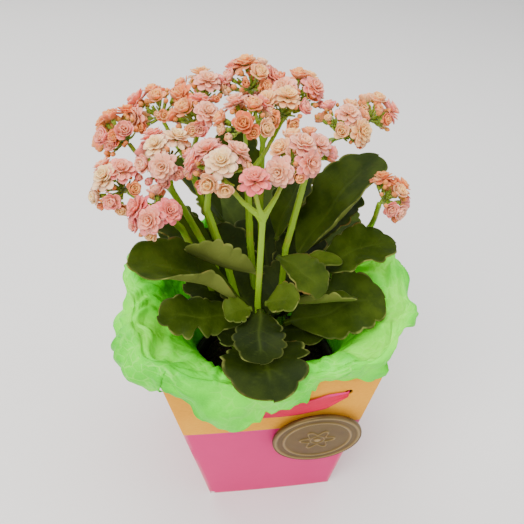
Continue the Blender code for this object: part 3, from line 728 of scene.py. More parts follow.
def makeSoil():
    look = soilLook
    low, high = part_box("potting_soil")
    wide, top, base = high.x, high.z, low.z
    draw = np.random.default_rng(look["seed"])
    turn = np.linspace(0, 2 * np.pi, 200, endpoint=False)[None, :]
    corners = vertexPlaces("potting_soil")
    foot = np.abs(corners[corners[:, 2] < base + 1 * mm][:, 0]).max()
    share = np.linspace(0, 1, 70)[:, None]
    flat = share * (wide - 1.0 * mm)
    level = top - 1.6 * mm * share ** 4 + 0 * turn
    spots = np.stack([flat * np.cos(turn), flat * np.sin(turn), 0 * level], -1)
    lumps = waves(spots, 16 * mm, draw) * 0.5 + waves(spots, 7 * mm, draw) * 0.35
    lumps = lumps + waves(spots, 3.2 * mm, draw) * 0.3
    level = level + look["lump"] * lumps * np.minimum(1, 6 * (1.02 - share))
    spots[..., 2] = level
    side = np.array([(wide - 0.6 * mm, top - 3 * mm), ((wide + foot) / 2 - 0.4 * mm, (top + base) / 2),
                     (foot - 0.4 * mm, base), (foot * 0.5, base), (0, base)])
    below = turned(side, 200)
    points = np.concatenate([spots, below])
    soil = makePiece("soil_heap", points, gridQuads(len(points), 200, closeColumns=True), soilFinish(),
                     outward=True)
    return place(soil, ["potting_soil"])


# tissue collar

tissueLook = {"thickness": 0.25 * mm, "turns": 420, "steps": 96, "flare": 17 * mm, "crest": 15 * mm,
              "tuck": 14 * mm, "round": 540 * mm,
              "facets": [(23 * mm, 4.0 * mm), (12 * mm, 1.9 * mm), (6.5 * mm, 0.6 * mm)],
              "pleats": 0.45, "hollow": 5 * mm, "slump": 9 * mm,
              "fan": 1.5 * mm, "seed": 11, "sheet": (0.13, 0.50), "hem": 2.6 * mm, "drop": 130 * mm,
              # the doubled end: its first and last angle, where down the sheet it starts, how far it hangs
              "foldFrom": 184, "foldTo": 229, "foldTop": 0.62, "fold": 10 * mm}
# gathered spots: angle, share of the way down the sheet, reach and number of creases
tissueFans = [(226, 0.72, 40, 9), (304, 0.72, 26, 8), (168, 0.80, 34, 7), (8, 0.78, 34, 8)]


def squircle(angle, power):
    # radius of a rounded square of half-width 1
    c, s = np.abs(np.cos(np.radians(angle))), np.abs(np.sin(np.radians(angle)))
    return (c ** power + s ** power) ** (-1 / power)


def tissueLine(angle):
    # the collar's middle line in each direction: down beside the pot, up the wall, over the rim, down again
    rim = float(boxTop)
    inner = topHalf - boxLook["card"]
    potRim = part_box("nursery_pot")[1]
    pot = potRim.x + 1.55 * mm
    ruffle = 1.6 * mm * np.sin(np.radians(7 * angle)) + 1.1 * mm * np.sin(np.radians(11 * angle + 40))
    front, left, right = angleHump(angle, 268, 34), angleHump(angle, 182, 34), angleHump(angle, 356, 36)
    cornerLeft, back = angleHump(angle, 222, 20), angleHump(angle, 90, 50)
    snug, corner = angleHump(angle, 286, 17), angleHump(angle, 311, 9)
    crestOut = inner + tissueLook["flare"] + (3 * left + 7 * right - 5 * front + 4 * cornerLeft) * mm
    crestUp = rim + tissueLook["crest"] + (10 * left + 3 * right - 8 * front) * mm + ruffle
    edgeOut = crestOut + (1 + 2 * right + 2 * left + 2 * front) * mm
    edgeUp = crestUp - (11 + 19 * front + 7 * back + 2 * cornerLeft) * mm
    edgeUp = edgeUp + 7 * mm * np.abs(np.sin(np.radians(2 * angle))) ** 6
    crestOut, edgeOut = crestOut - 6.5 * mm * snug, edgeOut - 9.5 * mm * snug
    crestUp = crestUp - 3 * mm * snug
    edgeUp = edgeUp + (9 * snug - 12 * corner - 5 * angleHump(angle, 250, 13)) * mm
    crestOut, edgeOut = crestOut * squircle(angle, 2.5), edgeOut * squircle(angle, 2.5)
    one = np.ones_like(angle)
    knee = (inner + 0.5 * mm) * squircle(angle, 3.0)
    gathered = np.maximum(angleHump(angle, 215, 48), angleHump(angle, 300, 42))
    slump = tissueLook["slump"] * np.maximum(0.25, gathered)
    line = [(pot + 0.3 * mm, potRim.z - tissueLook["tuck"]), (pot + 0.5 * mm, potRim.z + 2 * mm),
            ((inner - 8.5 * mm) * squircle(angle, 2.5) - slump, rim - 26 * mm),
            ((inner - 5.5 * mm) * squircle(angle, 3.0) - slump, rim - 8 * mm),
            (knee - 0.45 * slump, rim + 6 * mm),
            (0.5 * knee + 0.5 * crestOut, 0.25 * rim + 0.75 * crestUp + 1 * mm), (crestOut, crestUp),
            (edgeOut + 2.0 * mm, (crestUp + edgeUp) / 2), (edgeOut, edgeUp)]
    return np.stack([np.stack([r * one, z * one], -1) for r, z in line])


def throughKnots(knots, steps):
    # a smooth curve through evenly numbered knots (Catmull-Rom), the knots along the first axis
    count = len(knots)
    t = np.linspace(0, count - 1, steps)
    k = np.minimum(t.astype(int), count - 2)
    f = (t - k).reshape((-1,) + (1,) * (knots.ndim - 1))
    before, after = knots[np.maximum(k - 1, 0)], knots[np.minimum(k + 2, count - 1)]
    a, b = knots[k], knots[k + 1]
    return 0.5 * (2 * a + (b - before) * f + (2 * before - 5 * a + 4 * b - after) * f ** 2
                  + (3 * a - before - 3 * b + after) * f ** 3)


def facets(around, down, size, draw):
    # flat triangles between scattered points of random height: a Delaunay net laid over the sheet, closed
    # round it, and read at each point of the sheet by its place within its triangle
    wide, tall = tissueLook["round"], down.max()
    count = int(wide * tall / size ** 2)
    spots = draw.uniform((0, -size), (wide, tall + size), (count, 2))
    heights = draw.uniform(0.35, 1, count) * draw.choice([-1.0, 1.0], count)
    spots = np.concatenate([spots, spots - (wide, 0), spots + (wide, 0)])
    heights = np.tile(heights, 3)
    near = (spots[:, 0] > -3 * size) & (spots[:, 0] < wide + 3 * size)
    spots, heights = spots[near], heights[near]
    corners, _, triangles, origins = delaunay_2d_cdt([Vector(spot) for spot in spots], [], [], 0, 1e-7)[:4]
    heights = np.array([heights[origin[0]] for origin in origins])
    corners = np.array([tuple(corner) for corner in corners])
    total = np.zeros(np.broadcast(around, down).shape)
    for a, b, c in triangles:
        (ax, ay), (bx, by), (cx, cy) = corners[a], corners[b], corners[c]
        x, y = around - ax, down - ay
        double = (bx - ax) * (cy - ay) - (by - ay) * (cx - ax)
        first = (x * (cy - ay) - y * (cx - ax)) / double
        second = (y * (bx - ax) - x * (by - ay)) / double
        inside = (first >= 0) & (second >= 0) & (first + second <= 1)
        value = heights[a] + first * (heights[b] - heights[a]) + second * (heights[c] - heights[a])
        total = np.where(inside, value, total)
    return total


def fans(angle, share):
    # creases fanning out from the gathered spots: a triangle wave of the direction seen from each spot,
    # strongest a little way out and fading as a bell
    total = 0
    for middle, level, spread, count in tissueFans:
        sideways = ((angle[None, :] - middle + 180) % 360 - 180) * 1.5
        upward = (share - level) * 130
        away = np.hypot(sideways, upward)
        direction = np.arctan2(upward, sideways) / (2 * np.pi)
        crease = zigzag(direction * count + 0.012 * away)
        total = total + crease * hump(away, 0, spread) * smoothStep(away, 2, 11)
    return total * tissueLook["fan"]


def tissueSurface(draw):
    look = tissueLook
    turns, steps = look["turns"], look["steps"]
    angle = np.linspace(0, 360, turns, endpoint=False)
    path = throughKnots(tissueLine(angle), steps)
    share = np.linspace(0, 1, steps)[:, None]
    c, s = np.cos(np.radians(angle))[None, :], np.sin(np.radians(angle))[None, :]
    base = np.stack([path[..., 0] * c, path[..., 0] * s, path[..., 1]], -1)
    normal = unit(np.cross(np.roll(base, -1, 1) - np.roll(base, 1, 1), np.gradient(base, axis=0)))
    free = smoothStep(share, 0.22, 0.62)
    calm = 1 - 0.62 * angleHump(angle, 258, 26)[None, :] * smoothStep(share, 0.45, 0.7)
    calm = calm * (1 - 0.45 * angleHump(angle, 5, 24)[None, :] * smoothStep(share, 0.6, 0.8))
    wander = 0.9 * waves(base, 60 * mm, draw, 5) + 0.25 * waves(base, 25 * mm, draw, 5)
    pleatDepth = (0.9 + 1.9 * free + 1.0 * hump(share, 0.55, 0.12)) * mm * look["pleats"]
    pleats = zigzag(angle[None, :] / 360 * 23 + wander) * pleatDepth * calm
    pleats = pleats * (0.55 + 0.45 * smoothStep(waves(base, 50 * mm, draw, 5), -0.6, 0.8))
    around, down = angle[None, :] / 360 * look["round"], share * look["drop"]
    folds = sum(depth * facets(around, down, size, draw) for size, depth in look["facets"])
    offset = pleats + folds * (0.25 + 0.75 * free) * calm
    offset = np.clip(offset, -7 * mm, (4.5 - 3.7 * angleHump(angle, 268, 26)[None, :]) * mm)
    offset = offset + fans(angle, share)
    hollow = np.maximum(angleHump(angle, 226, 6), 0.7 * angleHump(angle, 303, 5))[None, :]
    hollow = hollow * hump(share, 0.74, 0.13)
    offset = offset - look["hollow"] * hollow
    inside = 1 - smoothStep(share, 0.40, 0.60)
    offset = offset * (1 - inside) + inside * np.clip(offset, -1.6 * mm, 4.0 * mm)
    points = base + normal * offset[..., None]
    lift = zigzag(angle[None, :] / 40 + 0.8 * wander) * smoothStep(share, 0.80, 1.0)
    points[..., 2] += look["hem"] * lift
    stretch = 1 + 0.02 * waves(base, 30 * mm, draw, 6) * free
    points[..., :2] *= stretch[..., None]
    points = keepOff(points, share)
    # the second value is the fold height from 0 to 1, which the finish uses as painted shade in the hollows
    # and painted light on the folds
    return points, np.clip(offset / (6 * mm) + 0.5, 0, 1), angle, share


def keepOff(points, share):
    # inside the box the sheet stays between pot and card; outside it stays clear of the wall
    x, y, z = points[..., 0], points[..., 1], points[..., 2]
    radius = np.hypot(x, y)
    room = wallDistance(np.minimum(z, boxTop), np.minimum(np.abs(x), np.abs(y)))
    square = np.maximum(np.abs(x), np.abs(y))
    within = (share < 0.46) & (z < boxTop + 1 * mm)
    limit = (room - boxLook["card"] - 0.5 * mm) / np.maximum(square, 1e-6)
    beyond = (share > 0.5) & (z < boxTop + 1 * mm)
    least = (room + 1.2 * mm) / np.maximum(square, 1e-6)
    factor = np.where(within, np.minimum(1, limit), np.where(beyond, np.maximum(1, least), 1))
    points = points * np.stack([factor, factor, np.ones_like(factor)], -1)
    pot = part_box("nursery_pot")[1]
    near = within & (z < pot.z + 2 * mm)
    push = np.where(near, np.maximum(1, (pot.x + 0.7 * mm) / np.maximum(radius * factor, 1e-6)), 1)
    return points * np.stack([push, push, np.ones_like(push)], -1)


def makeTissue():
    look = tissueLook
    draw = np.random.default_rng(look["seed"])
    finish = tissueFinish()
    points, height, angle, share = tissueSurface(draw)
    size = points.shape[:2]
    along = np.broadcast_to(np.abs(angle[None, :] - 180) / 180 * 0.25, size)
    across = np.broadcast_to(share * 0.12, size)
    # the sheet's doubled end: part of the outer face again, a little further out and hanging lower
    start, stop = look["foldFrom"], look["foldTo"]
    top, first, last = int(size[0] * look["foldTop"]), int(size[1] * start / 360), int(size[1] * stop / 360)
    fold = points[top:, first:last].copy()
    outward = unit(fold * (1, 1, 0))
    fade = smoothStep(share[top:], share[top, 0], 1.0)
    turn = angle[None, first:last]
    ends = np.clip(np.sin(np.pi * (turn - start) / (stop - start)), 0, 1) ** 0.5
    drop = look["fold"] * (0.7 + 0.3 * zigzag(turn / 31.0 + 0.2)) * ends
    fold = fold + outward * ((0.4 + 6.0 * fade * ends) * mm)[..., None]
    fold[..., 2] -= drop * fade
    patch = np.s_[top:, first:last]
    # height carries the painted shade and light of the folds to the finish
    layers = {"along": np.append(along, along[patch]), "across": np.append(across, across[patch] + 0.02),
              "height": np.append(height, height[patch])}
    quads = np.concatenate([gridQuads(*size, closeColumns=True),
                            gridQuads(*fold.shape[:2]) + points[..., 0].size])
    points = np.concatenate([points.reshape(-1, 3), fold.reshape(-1, 3)])
    tissue = makePiece("tissue_collar_sheet", points, quads, finish, layers)
    wall = tissue.modifiers.new("thickness", "SOLIDIFY")
    wall.thickness, wall.offset = look["thickness"], 0
    applyModifiers(tissue)
    turnOutward(tissue)
    place(tissue, ["tissue_collar"])
    return tissue


# stalks

stalkLook = {"voxel": 0.55 * mm, "smoothing": 6}


def makeStalks():
    finish = stalkFinish()
    for node in sorted(n for n in nodes if n.startswith("stem_")):
        mesh = nodes[node].data.copy()
        shape = bmesh.new()
        shape.from_mesh(mesh)
        bmesh.ops.remove_doubles(shape, verts=shape.verts, dist=2e-6)
        shape.to_mesh(mesh)
        shape.free()
        mesh.materials.clear()
        mesh.materials.append(finish)
        piece = bpy.data.objects.new("stalk_" + node.split("_", 1)[1], mesh)
        bpy.context.scene.collection.objects.link(piece)
        cells = piece.modifiers.new("even", "REMESH")
        cells.mode, cells.voxel_size = "VOXEL", stalkLook["voxel"]
        soft = piece.modifiers.new("soft", "SMOOTH")
        soft.iterations, soft.factor = stalkLook["smoothing"], 0.5
        applyModifiers(piece)
        made = piece.data
        count = len(made.vertices)
        layer = made.attributes.new("node", "FLOAT", "POINT")
        co = np.zeros(count * 3)
        made.vertices.foreach_get("co", co)
        z = co.reshape(-1, 3)[:, 2]
        layer.data.foreach_set("value", hump((z - z.min()) % 0.052, 0.026, 0.0025))
        made.polygons.foreach_set("use_smooth", np.ones(len(made.polygons), bool))
        made.materials.clear()
        made.materials.append(finish)
        place(piece, [node])


# leaves

leafLook = {"thick": 1.5 * mm, "petiole": 0.055, "teeth": 7, "tooth": 1.7 * mm, "groove": 0.45 * mm}

# what each leaf adds to the shape its CAD node gives: youth, teeth a side, a curl of its tip,
# a fold of its left or right margin (angle in degrees, from which share of the half-width),
# wave of the margin; and tone, painted shade that darkens the top face (1 keeps its colour)
leafWays = {
    "front_small": {"teeth": 6, "tipCurl": 3, "tooth": 2.4, "tone": 0.42},
    "front_large": {"teeth": 5, "tipCurl": 5, "wave": 1.6, "tooth": 3.0, "widen": 1.12,
                    "lobes": [(0.72, 1, 5)], "tone": 0.50},
    "front_pair_right": {"young": 0.25, "teeth": 4, "tooth": 2.2, "widen": 1.5},
    "front_pair_left": {"young": 0.25, "teeth": 4, "tooth": 2.2, "widen": 1.5},
    "left_front": {"teeth": 6, "wave": 2.2, "tooth": 3.0, "lobes": [(0.60, 1, 9), (0.42, -1, 3)]},
    "left_large": {"teeth": 7, "foldFront": 62, "foldFrom": 0.30, "wave": 1.6, "tooth": 2.0},
    "left_upper": {"teeth": 7, "wave": 1.5},
    "left_folded": {"teeth": 7, "young": 0.25, "foldBack": 25, "foldFrom": 0.25},
    "right_hanging": {"teeth": 6, "wave": 1.4, "tooth": 1.6},
    "right_edge_on": {"teeth": 6, "young": 0.2, "foldFront": 20, "wave": 1.5},
    "right_lower": {"teeth": 7, "wave": 1.6},
    "right_lobed": {"teeth": 6, "wave": 2.4, "tooth": 2.8},
    "right_large": {"teeth": 7, "foldFront": 50, "foldFrom": 0.62, "wave": 1.2},
    "right_middle": {"teeth": 6, "wave": 1.4},
    "right_small": {"young": 0.4, "teeth": 4, "tooth": 0.8},
    "centre_back": {"teeth": 6},
    "back_upright": {"teeth": 6},
}


def leafFrame(node):
    # foot, tip and the shape of a leaf, read off the stations of its CAD solid
    corners = vertexPlaces(node)
    gaps = np.linalg.norm(corners[:, None] - corners[None], axis=-1)
    first, last = np.unravel_index(np.argmax(gaps), gaps.shape)
    foot, tip = corners[first], corners[last]
    if np.hypot(*foot[:2]) > np.hypot(*tip[:2]):
        foot, tip = tip, foot
    chord = tip - foot
    length = np.linalg.norm(chord)
    chord = chord / length
    along = (corners - foot) @ chord / length
    middle = corners[np.abs(along - 4 / 9) < 0.03]
    flat = middle - np.outer((middle - foot) @ chord, chord) - foot
    spread = np.linalg.norm(flat[:, None] - flat[None], axis=-1)
    a, b = np.unravel_index(np.argmax(spread), spread.shape)
    side = unit(flat[b] - flat[a])
    if side @ np.cross([0.0, 0.0, 1.0], chord) < 0:
        side = -side
    up = np.cross(chord, side)
    width = np.ptp((corners - foot) @ side)
    centre = flat[np.argsort(np.abs(flat @ side))[:2]]
    edges = flat[np.argsort(-np.abs(flat @ side))[:2]]
    swell = math.sin(math.pi * 4 / 9)
    arch = (centre @ up).mean() / swell
    cup = ((edges @ up).mean() - (centre @ up).mean()) / math.sqrt(swell)
    return {"foot": foot, "chord": chord, "side": side, "up": up, "length": length, "width": width,
            "arch": arch, "cup": cup}


def leafOutline(x):
    # half-width over the blade, 1 at its widest: a slow start at the stalk and a round end
    x0 = leafLook["petiole"]
    t = np.clip((x - x0) / (1 - x0), 0, 1)
    return t ** 0.80 * (1 - t) ** 0.50 / 0.4265


def makeLeaf(name, finish, shape, ways, seed, fromCad=True):
    # rows run along the margin from foot to tip, columns round the section: top, rim, underside
    draw = np.random.default_rng(seed)
    look = {"young": 0.0, "teeth": leafLook["teeth"], "tooth": 2.9, "tipCurl": 2.0, "foldFront": 0,
            "foldBack": 0, "foldFrom": 0.45, "wave": 1.1, "widen": 1.0, "lobes": [], "tone": 1.0, **ways}
    rows = 104
    m = np.linspace(0, 1, rows)[:, None]
    x = (1 - np.cos(np.pi * m)) / 2
    x = 0.25 * m + 0.75 * x
    half = shape["width"] / 2 * look["widen"]
    stalk = 1.7 * mm * smoothStep(m, 0.0, 0.02) * (1 - smoothStep(m, 0.9, 0.98))
    inner = -np.array([0.985, 0.93, 0.84, 0.72, 0.59, 0.45, 0.31, 0.18, 0.08])
    columns = np.concatenate([[-1.0], inner, [0.0]])
    columns = np.concatenate([columns, -columns[:-1][::-1]])
    across = np.concatenate([columns, columns[1:-1][::-1]])[None, :]
    top = np.concatenate([np.ones(len(columns)), -np.ones(len(columns) - 2)])[None, :]
    rimColumn = np.abs(across) > 0.999
    right = across > 0
    outline = half * leafOutline(x)
    edgeWidth = np.maximum(outline, stalk)
    notch = look["teeth"] + 0.35 * right
    phase = draw.uniform(-0.12, 0.12, 2)
    beat = x * notch + np.where(right, phase[0], phase[1])
    scallop = np.abs(np.sin(np.pi * beat)) ** 0.75 - 0.62
    grow = smoothStep(x, 0.26, 0.46) * (1 - 0.55 * smoothStep(x, 0.90, 1.0))
    margin = np.stack(np.broadcast_arrays(x * 5, right * 7.0, 0.0 * x), -1)
    uneven = 0.95 + 0.40 * waves(margin, 1.0, draw, 4)
    tooth = look["tooth"] * mm * scallop * grow * uneven * min(1.0, half / (14 * mm))
    for spot, side, depth in look["lobes"]:
        tooth = tooth - depth * mm * hump(x, spot, 0.055) * (np.where(right, 1, -1) == side)
    slope = np.gradient(edgeWidth[:, 0], x[:, 0] * shape["length"] + 1e-9)[:, None]
    slope = np.clip(slope, -6, 6)
    leanBack = slope / np.sqrt(1 + slope ** 2)
    share = np.abs(across)
    reach = share ** 1.0
    endX = 0.93
    midX = x * endX
    wide = (edgeWidth + tooth / np.sqrt(1 + slope ** 2) * share ** 2) * reach
    alongX = midX + (x - midX) * share ** 1.3 - tooth * leanBack * share ** 2 / shape["length"]
    wander = waves(np.stack([x * 3, 0 * x, 0 * x], -1), 1.7, draw, 3) * 0.05
    # the section bends up by an angle that grows outwards, so the blade keeps its true width
    swell = np.sqrt(np.clip(np.sin(np.pi * np.clip(x, 0, 1)), 0, 1))
    lift = 2 * shape["cup"] * swell / np.maximum(half, 1e-6)
    sinus = np.sin(2 * np.pi * (x * look["teeth"] * 0.5 + np.where(right, 0.1, 0.45)) + draw.uniform(0, 6))
    bend = lift * share + look["wave"] * mm / np.maximum(half, 1e-6) * 2.2 * share ** 2 * sinus * grow
    frontRight = shape["side"][1] < 0
    foldShare = smoothStep(share, look["foldFrom"], min(1.0, look["foldFrom"] + 0.45))
    window = hump(x, 0.42, 0.30)
    foldAngle = np.where(right == frontRight, look["foldFront"], look["foldBack"])
    bend = bend + np.radians(foldAngle) * foldShare * window
    bend = bend + 0.16 * (share - 0.15)
    order = len(columns) // 2
    flatWay = np.zeros((rows, across.shape[1]))
    riseWay = np.zeros_like(flatWay)
    grid = wide * np.ones_like(bend)
    for sign in (1, -1):
        for surface in (0, 1):
            if surface == 0:
                index = order + sign * np.arange(0, order + 1)
            else:
                bottom = 2 * (len(columns) - 1) - order
                index = (bottom - sign * np.arange(0, order + 1)) % across.shape[1]
            step = np.diff(grid[:, index], axis=1)
            tilt = (bend[:, index][:, 1:] + bend[:, index][:, :-1]) / 2
            flatWay[:, index[1:]] = sign * np.cumsum(step * np.cos(tilt), 1)
            riseWay[:, index[1:]] = np.cumsum(step * np.sin(tilt), 1)
    rise = riseWay + shape["arch"] * np.sin(np.pi * alongX)
    rise = rise - look["tipCurl"] * mm * smoothStep(alongX, 0.62, 1.05) ** 1.5
    grooved = top * smoothStep(x, 0.02, 0.1) * (1 - smoothStep(x, 0.75, 0.98))
    rise = rise - leafLook["groove"] * hump(flatWay, 0, 1.6 * mm) * grooved
    slim = 0.45 + 0.55 * np.cos(np.pi / 2 * share ** 3)
    thick = leafLook["thick"] / 2 * slim * (0.4 + 0.6 * smoothStep(x, 0, 0.03))
    thick = thick + 0.9 * mm * hump(share * edgeWidth, 0, 1.4 * mm) * (1 - smoothStep(x, 0.05, 0.32))
    thick = np.where(rimColumn, 0, thick * top)
    tilt = bend * np.sign(across)
    sideways = flatWay + wander * shape["length"] * 0.5 * (x * (1 - x)) * 4 - thick * np.sin(tilt)
    sideways = sideways + np.where(rimColumn, np.sign(across) * 0.35 * mm * smoothStep(x, 0.0, 0.03), 0)
    rise = rise + thick * np.cos(tilt)
    points = (shape["foot"] + (alongX * shape["length"])[..., None] * shape["chord"]
              + sideways[..., None] * shape["side"] + rise[..., None] * shape["up"])
    points[0] = shape["foot"]
    veinBeat = (x - share * 0.22) * look["teeth"] * 0.9
    vein = hump((veinBeat % 1) - 0.5, 0, 0.055) * (1 - share) * grow * 0.7
    vein = np.maximum(vein, hump(share * edgeWidth, 0, 0.9 * mm) * (1 - smoothStep(x, 0.8, 0.97)))
    shade = np.ones((rows, across.shape[1]))
    # tone carries this leaf's painted shade to its finish
    layers = {"along": x * shade, "across": across * shade,
              "under": shade * (top < 0) * ~rimColumn + 0.5 * rimColumn,
              "rim": shade * smoothStep(share, 0.955, 1.0) * smoothStep(x, 0.12, 0.3),
              "young": shade * look["young"],
              "vein": vein * shade, "tone": shade * look["tone"]}
    quads = gridQuads(rows, across.shape[1], closeColumns=True)
    layers = {key: value.ravel() for key, value in layers.items()}
    piece = makePiece("kalanchoe_" + name, points, quads, finish, layers, merge=1e-5, outward=True)
    return place(piece, [name] if fromCad else [])


# small leaves in the heart of the plant, which only the visual model has, their tops darkened to half as
# painted shade:
# foot and tip in mm from the middle of the soil's top, then width, arch and cup
innerLeaves = {
    "heart_left": ((-4, -6, 74), (-34, 26, 112), 38, 3, 4),
    "heart_back": ((3, -3, 70), (2, 44, 108), 42, 3, 4),
    "heart_right": ((8, 0, 74), (38, 20, 106), 36, 3, 4),
    "heart_low_left": ((-6, -12, 66), (-50, -4, 92), 36, 4, 3),
    "heart_low_right": ((5, -14, 64), (42, 2, 88), 34, 4, 3),
    "heart_front_right": ((0, -20, 70), (20, 2, 98), 30, 3, 3),
    "heart_front_left": ((-5, -22, 66), (-24, 2, 96), 30, 3, 3),
    "heart_front": ((-2, -24, 60), (-30, -40, 76), 30, 3, 3),
    "heart_side": ((4, -22, 58), (34, -38, 72), 32, 3, 3),
}


def innerShape(foot, tip, width, arch, cup):
    ground = np.array([0.0, 0.0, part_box("potting_soil")[1].z])
    foot, tip = np.array(foot) * mm + ground, np.array(tip) * mm + ground
    chord = unit(tip - foot)
    side = unit(np.cross([0.0, 0.0, 1.0], chord))
    return {"foot": foot, "chord": chord, "side": side, "up": np.cross(chord, side), "width": width * mm,
            "length": np.linalg.norm(tip - foot), "arch": arch * mm, "cup": cup * mm}


def makeLeaves():
    finish = leafFinish()
    for seed, (name, values) in enumerate(innerLeaves.items()):
        # tone 0.5: the heart leaves' tops are painted darker as shade
        makeLeaf("leaf_" + name, finish, innerShape(*values), {"teeth": 6, "tone": 0.5}, seed + 90, False)
    for seed, node in enumerate(sorted(n for n in nodes if n.startswith("leaf_"))):
        makeLeaf(node, finish, leafFrame(node), leafWays.get(node[5:], {}), seed + 40)


# flower heads

# colours of a floret: outer petal at its tip and root, inner petal at its tip and root
petalTones = {
    "pink": ((0.87, 0.25, 0.28), (0.89, 0.36, 0.26), (0.90, 0.40, 0.29), (0.88, 0.42, 0.15)),
    "strong": ((0.83, 0.14, 0.21), (0.85, 0.23, 0.20), (0.86, 0.26, 0.22), (0.86, 0.33, 0.14)),
    "pale": ((0.90, 0.37, 0.34), (0.91, 0.49, 0.34), (0.92, 0.51, 0.35), (0.90, 0.52, 0.20)),
    "lilac": ((0.86, 0.32, 0.37), (0.89, 0.45, 0.38), (0.90, 0.44, 0.35), (0.87, 0.50, 0.20)),
    "cream": ((0.92, 0.48, 0.29), (0.92, 0.58, 0.27), (0.93, 0.60, 0.23), (0.88, 0.46, 0.08)),
    "white": ((0.93, 0.58, 0.45), (0.93, 0.71, 0.46), (0.94, 0.73, 0.38), (0.90, 0.60, 0.16)),
    "peach": ((0.86, 0.31, 0.16), (0.87, 0.40, 0.15), (0.90, 0.48, 0.15), (0.84, 0.35, 0.05)),
    "salmon": ((0.80, 0.20, 0.09), (0.83, 0.30, 0.10), (0.87, 0.39, 0.11), (0.80, 0.28, 0.03)),
}
# rings of petals: count, lift in degrees, length and width in mm, curl in degrees,
# foot radius and height in mm
petalRings = {
    "open": [(8, 2, 7.2, 4.7, -10, 0.6, 0.0), (8, 17, 6.4, 4.5, -4, 0.5, 0.5), (7, 34, 5.4, 4.1, 8, 0.4, 0.9),
             (6, 50, 4.4, 3.5, 18, 0.3, 1.3), (4, 68, 3.5, 2.8, 24, 0.2, 1.5)],
    "half": [(6, 24, 6.0, 4.8, 34, 0.5, 0.0), (6, 40, 5.6, 4.6, 34, 0.4, 0.4),
             (6, 56, 5.0, 4.0, 30, 0.3, 0.7),
             (4, 72, 4.4, 3.2, 24, 0.2, 0.9)],
    "tight": [(5, 46, 5.2, 4.6, 48, 0.5, 0.0), (5, 60, 5.0, 4.2, 42, 0.4, 0.2),
              (3, 74, 4.7, 3.2, 28, 0.2, 0.4)],
}
# each head: its radius in mm, a turn of its spiral of florets, kinds of the florets and their tones,
# then how many half-open florets and buds stand between and below them
headWays = {
    "far_left_low": (14, 20, "OOHOOH", "white pale white pink cream pink", 3, 6),
    "left_hanging": (12, 200, "OOHHO", "strong pink pale pink strong", 2, 3),
    "far_left": (14, 80, "HOHOHH", "salmon peach pink salmon peach pink", 3, 8),
    "left_front": (14, 30, "OOHOHO", "white pink pale white pink pale", 3, 4),
    "left_back": (14, 140, "HOHHOH", "peach pink peach salmon pale peach", 3, 7),
    "left_inner": (11, 60, "OHHO", "lilac pink pale lilac", 2, 3),
    "centre_left": (12, 10, "HOHOH", "peach pink salmon pale peach", 3, 6),
    "back_left": (14, 170, "OHOHOH", "cream peach pale cream salmon pink", 3, 8),
    "back": (14, 50, "OHOHOHO", "peach white pink cream peach pale pink", 3, 8),
    "back_right": (14, 110, "HOHOHO", "peach cream salmon pink peach pale", 3, 8),
    "centre": (13, 75, "HOHOHH", "peach pale salmon pink peach cream", 3, 6),
    "centre_right": (12, 15, "OHOHO", "cream peach cream pink peach", 2, 5),
    "front_left": (13, 0, "OOHOO", "white pink cream pale pink", 2, 3),
    "front_right": (12, 30, "OHOHO", "pale cream pink cream pale", 2, 3),
    "front_single": (8, 0, "O", "strong", 0, 1),
    "right_front": (12, 40, "OHOH", "lilac peach pale pink", 2, 4),
    "right": (14, 0, "HOHHOH", "cream pale peach pink cream salmon", 3, 9),
    "far_right": (12, 90, "HOHTH", "cream pink cream peach salmon", 2, 7),
    "far_right_low": (12, 10, "OHHOH", "salmon cream pink salmon pale", 2, 7),
    "rear": (13, 0, "HOHOH", "peach pink cream pale peach", 3, 6),
}
flowerLook = {"fullness": 2.3, "budFullness": 3.2, "size": 1.05, "tint": (1.0, 0.93, 0.78),
              "petalThick": 0.32, "pedicel": 0.42, "calyx": 1.45, "stalkTone": (0.19, 0.29, 0.012),
              "sepalTone": (0.17, 0.27, 0.012), "budRoot": (0.48, 0.34, 0.04), "budTip": (0.72, 0.19, 0.05)}

petalRows = np.array([0.0, 0.15, 0.35, 0.60, 0.80, 0.95, 1.0])
petalColumns = np.array([-1.0, -0.5, 0.0, 0.5, 1.0, 0.5, 0.0, -0.5])
petalFaces = np.array([0.0, 1.0, 1.0, 1.0, 0.0, -1.0, -1.0, -1.0])


def petalGrids(v):
    # v holds one row of values per petal; each petal is a lens: a rising, curling strip,
    # widest past its middle
    turn, lift, length, width, curl, cup, footOut, footUp = [v[:, k, None, None] for k in range(8)]
    s = petalRows[None, :, None]
    c, face = petalColumns[None, None, :], petalFaces[None, None, :]
    tilt = lift + curl * s
    fine = np.linspace(0, 1, 21)[None, :, None]
    steps = lift + curl * fine
    outWay = np.cumsum(np.cos(steps), 1) / 20
    upWay = np.cumsum(np.sin(steps), 1) / 20
    pick = np.round(petalRows * 20).astype(int)
    outWay, upWay = (outWay - outWay[:, :1])[:, pick], (upWay - upWay[:, :1])[:, pick]
    form = s ** 0.55 * (1 - s ** 5) ** 0.6 / 0.74
    form = np.where((s <= 0) | (s >= 1), 0, form)
    y = width / 2 * form * c
    raise_ = cup * (c ** 2) * width * form * 0.5 + flowerLook["petalThick"] / 2 * face * form ** 0.5
    x = footOut + outWay * length - np.sin(tilt) * raise_
    z = footUp + upWay * length + np.cos(tilt) * raise_
    x, y, z = np.broadcast_arrays(x, y, z)
    return np.stack([x * np.cos(turn) - y * np.sin(turn), x * np.sin(turn) + y * np.cos(turn), z], -1)


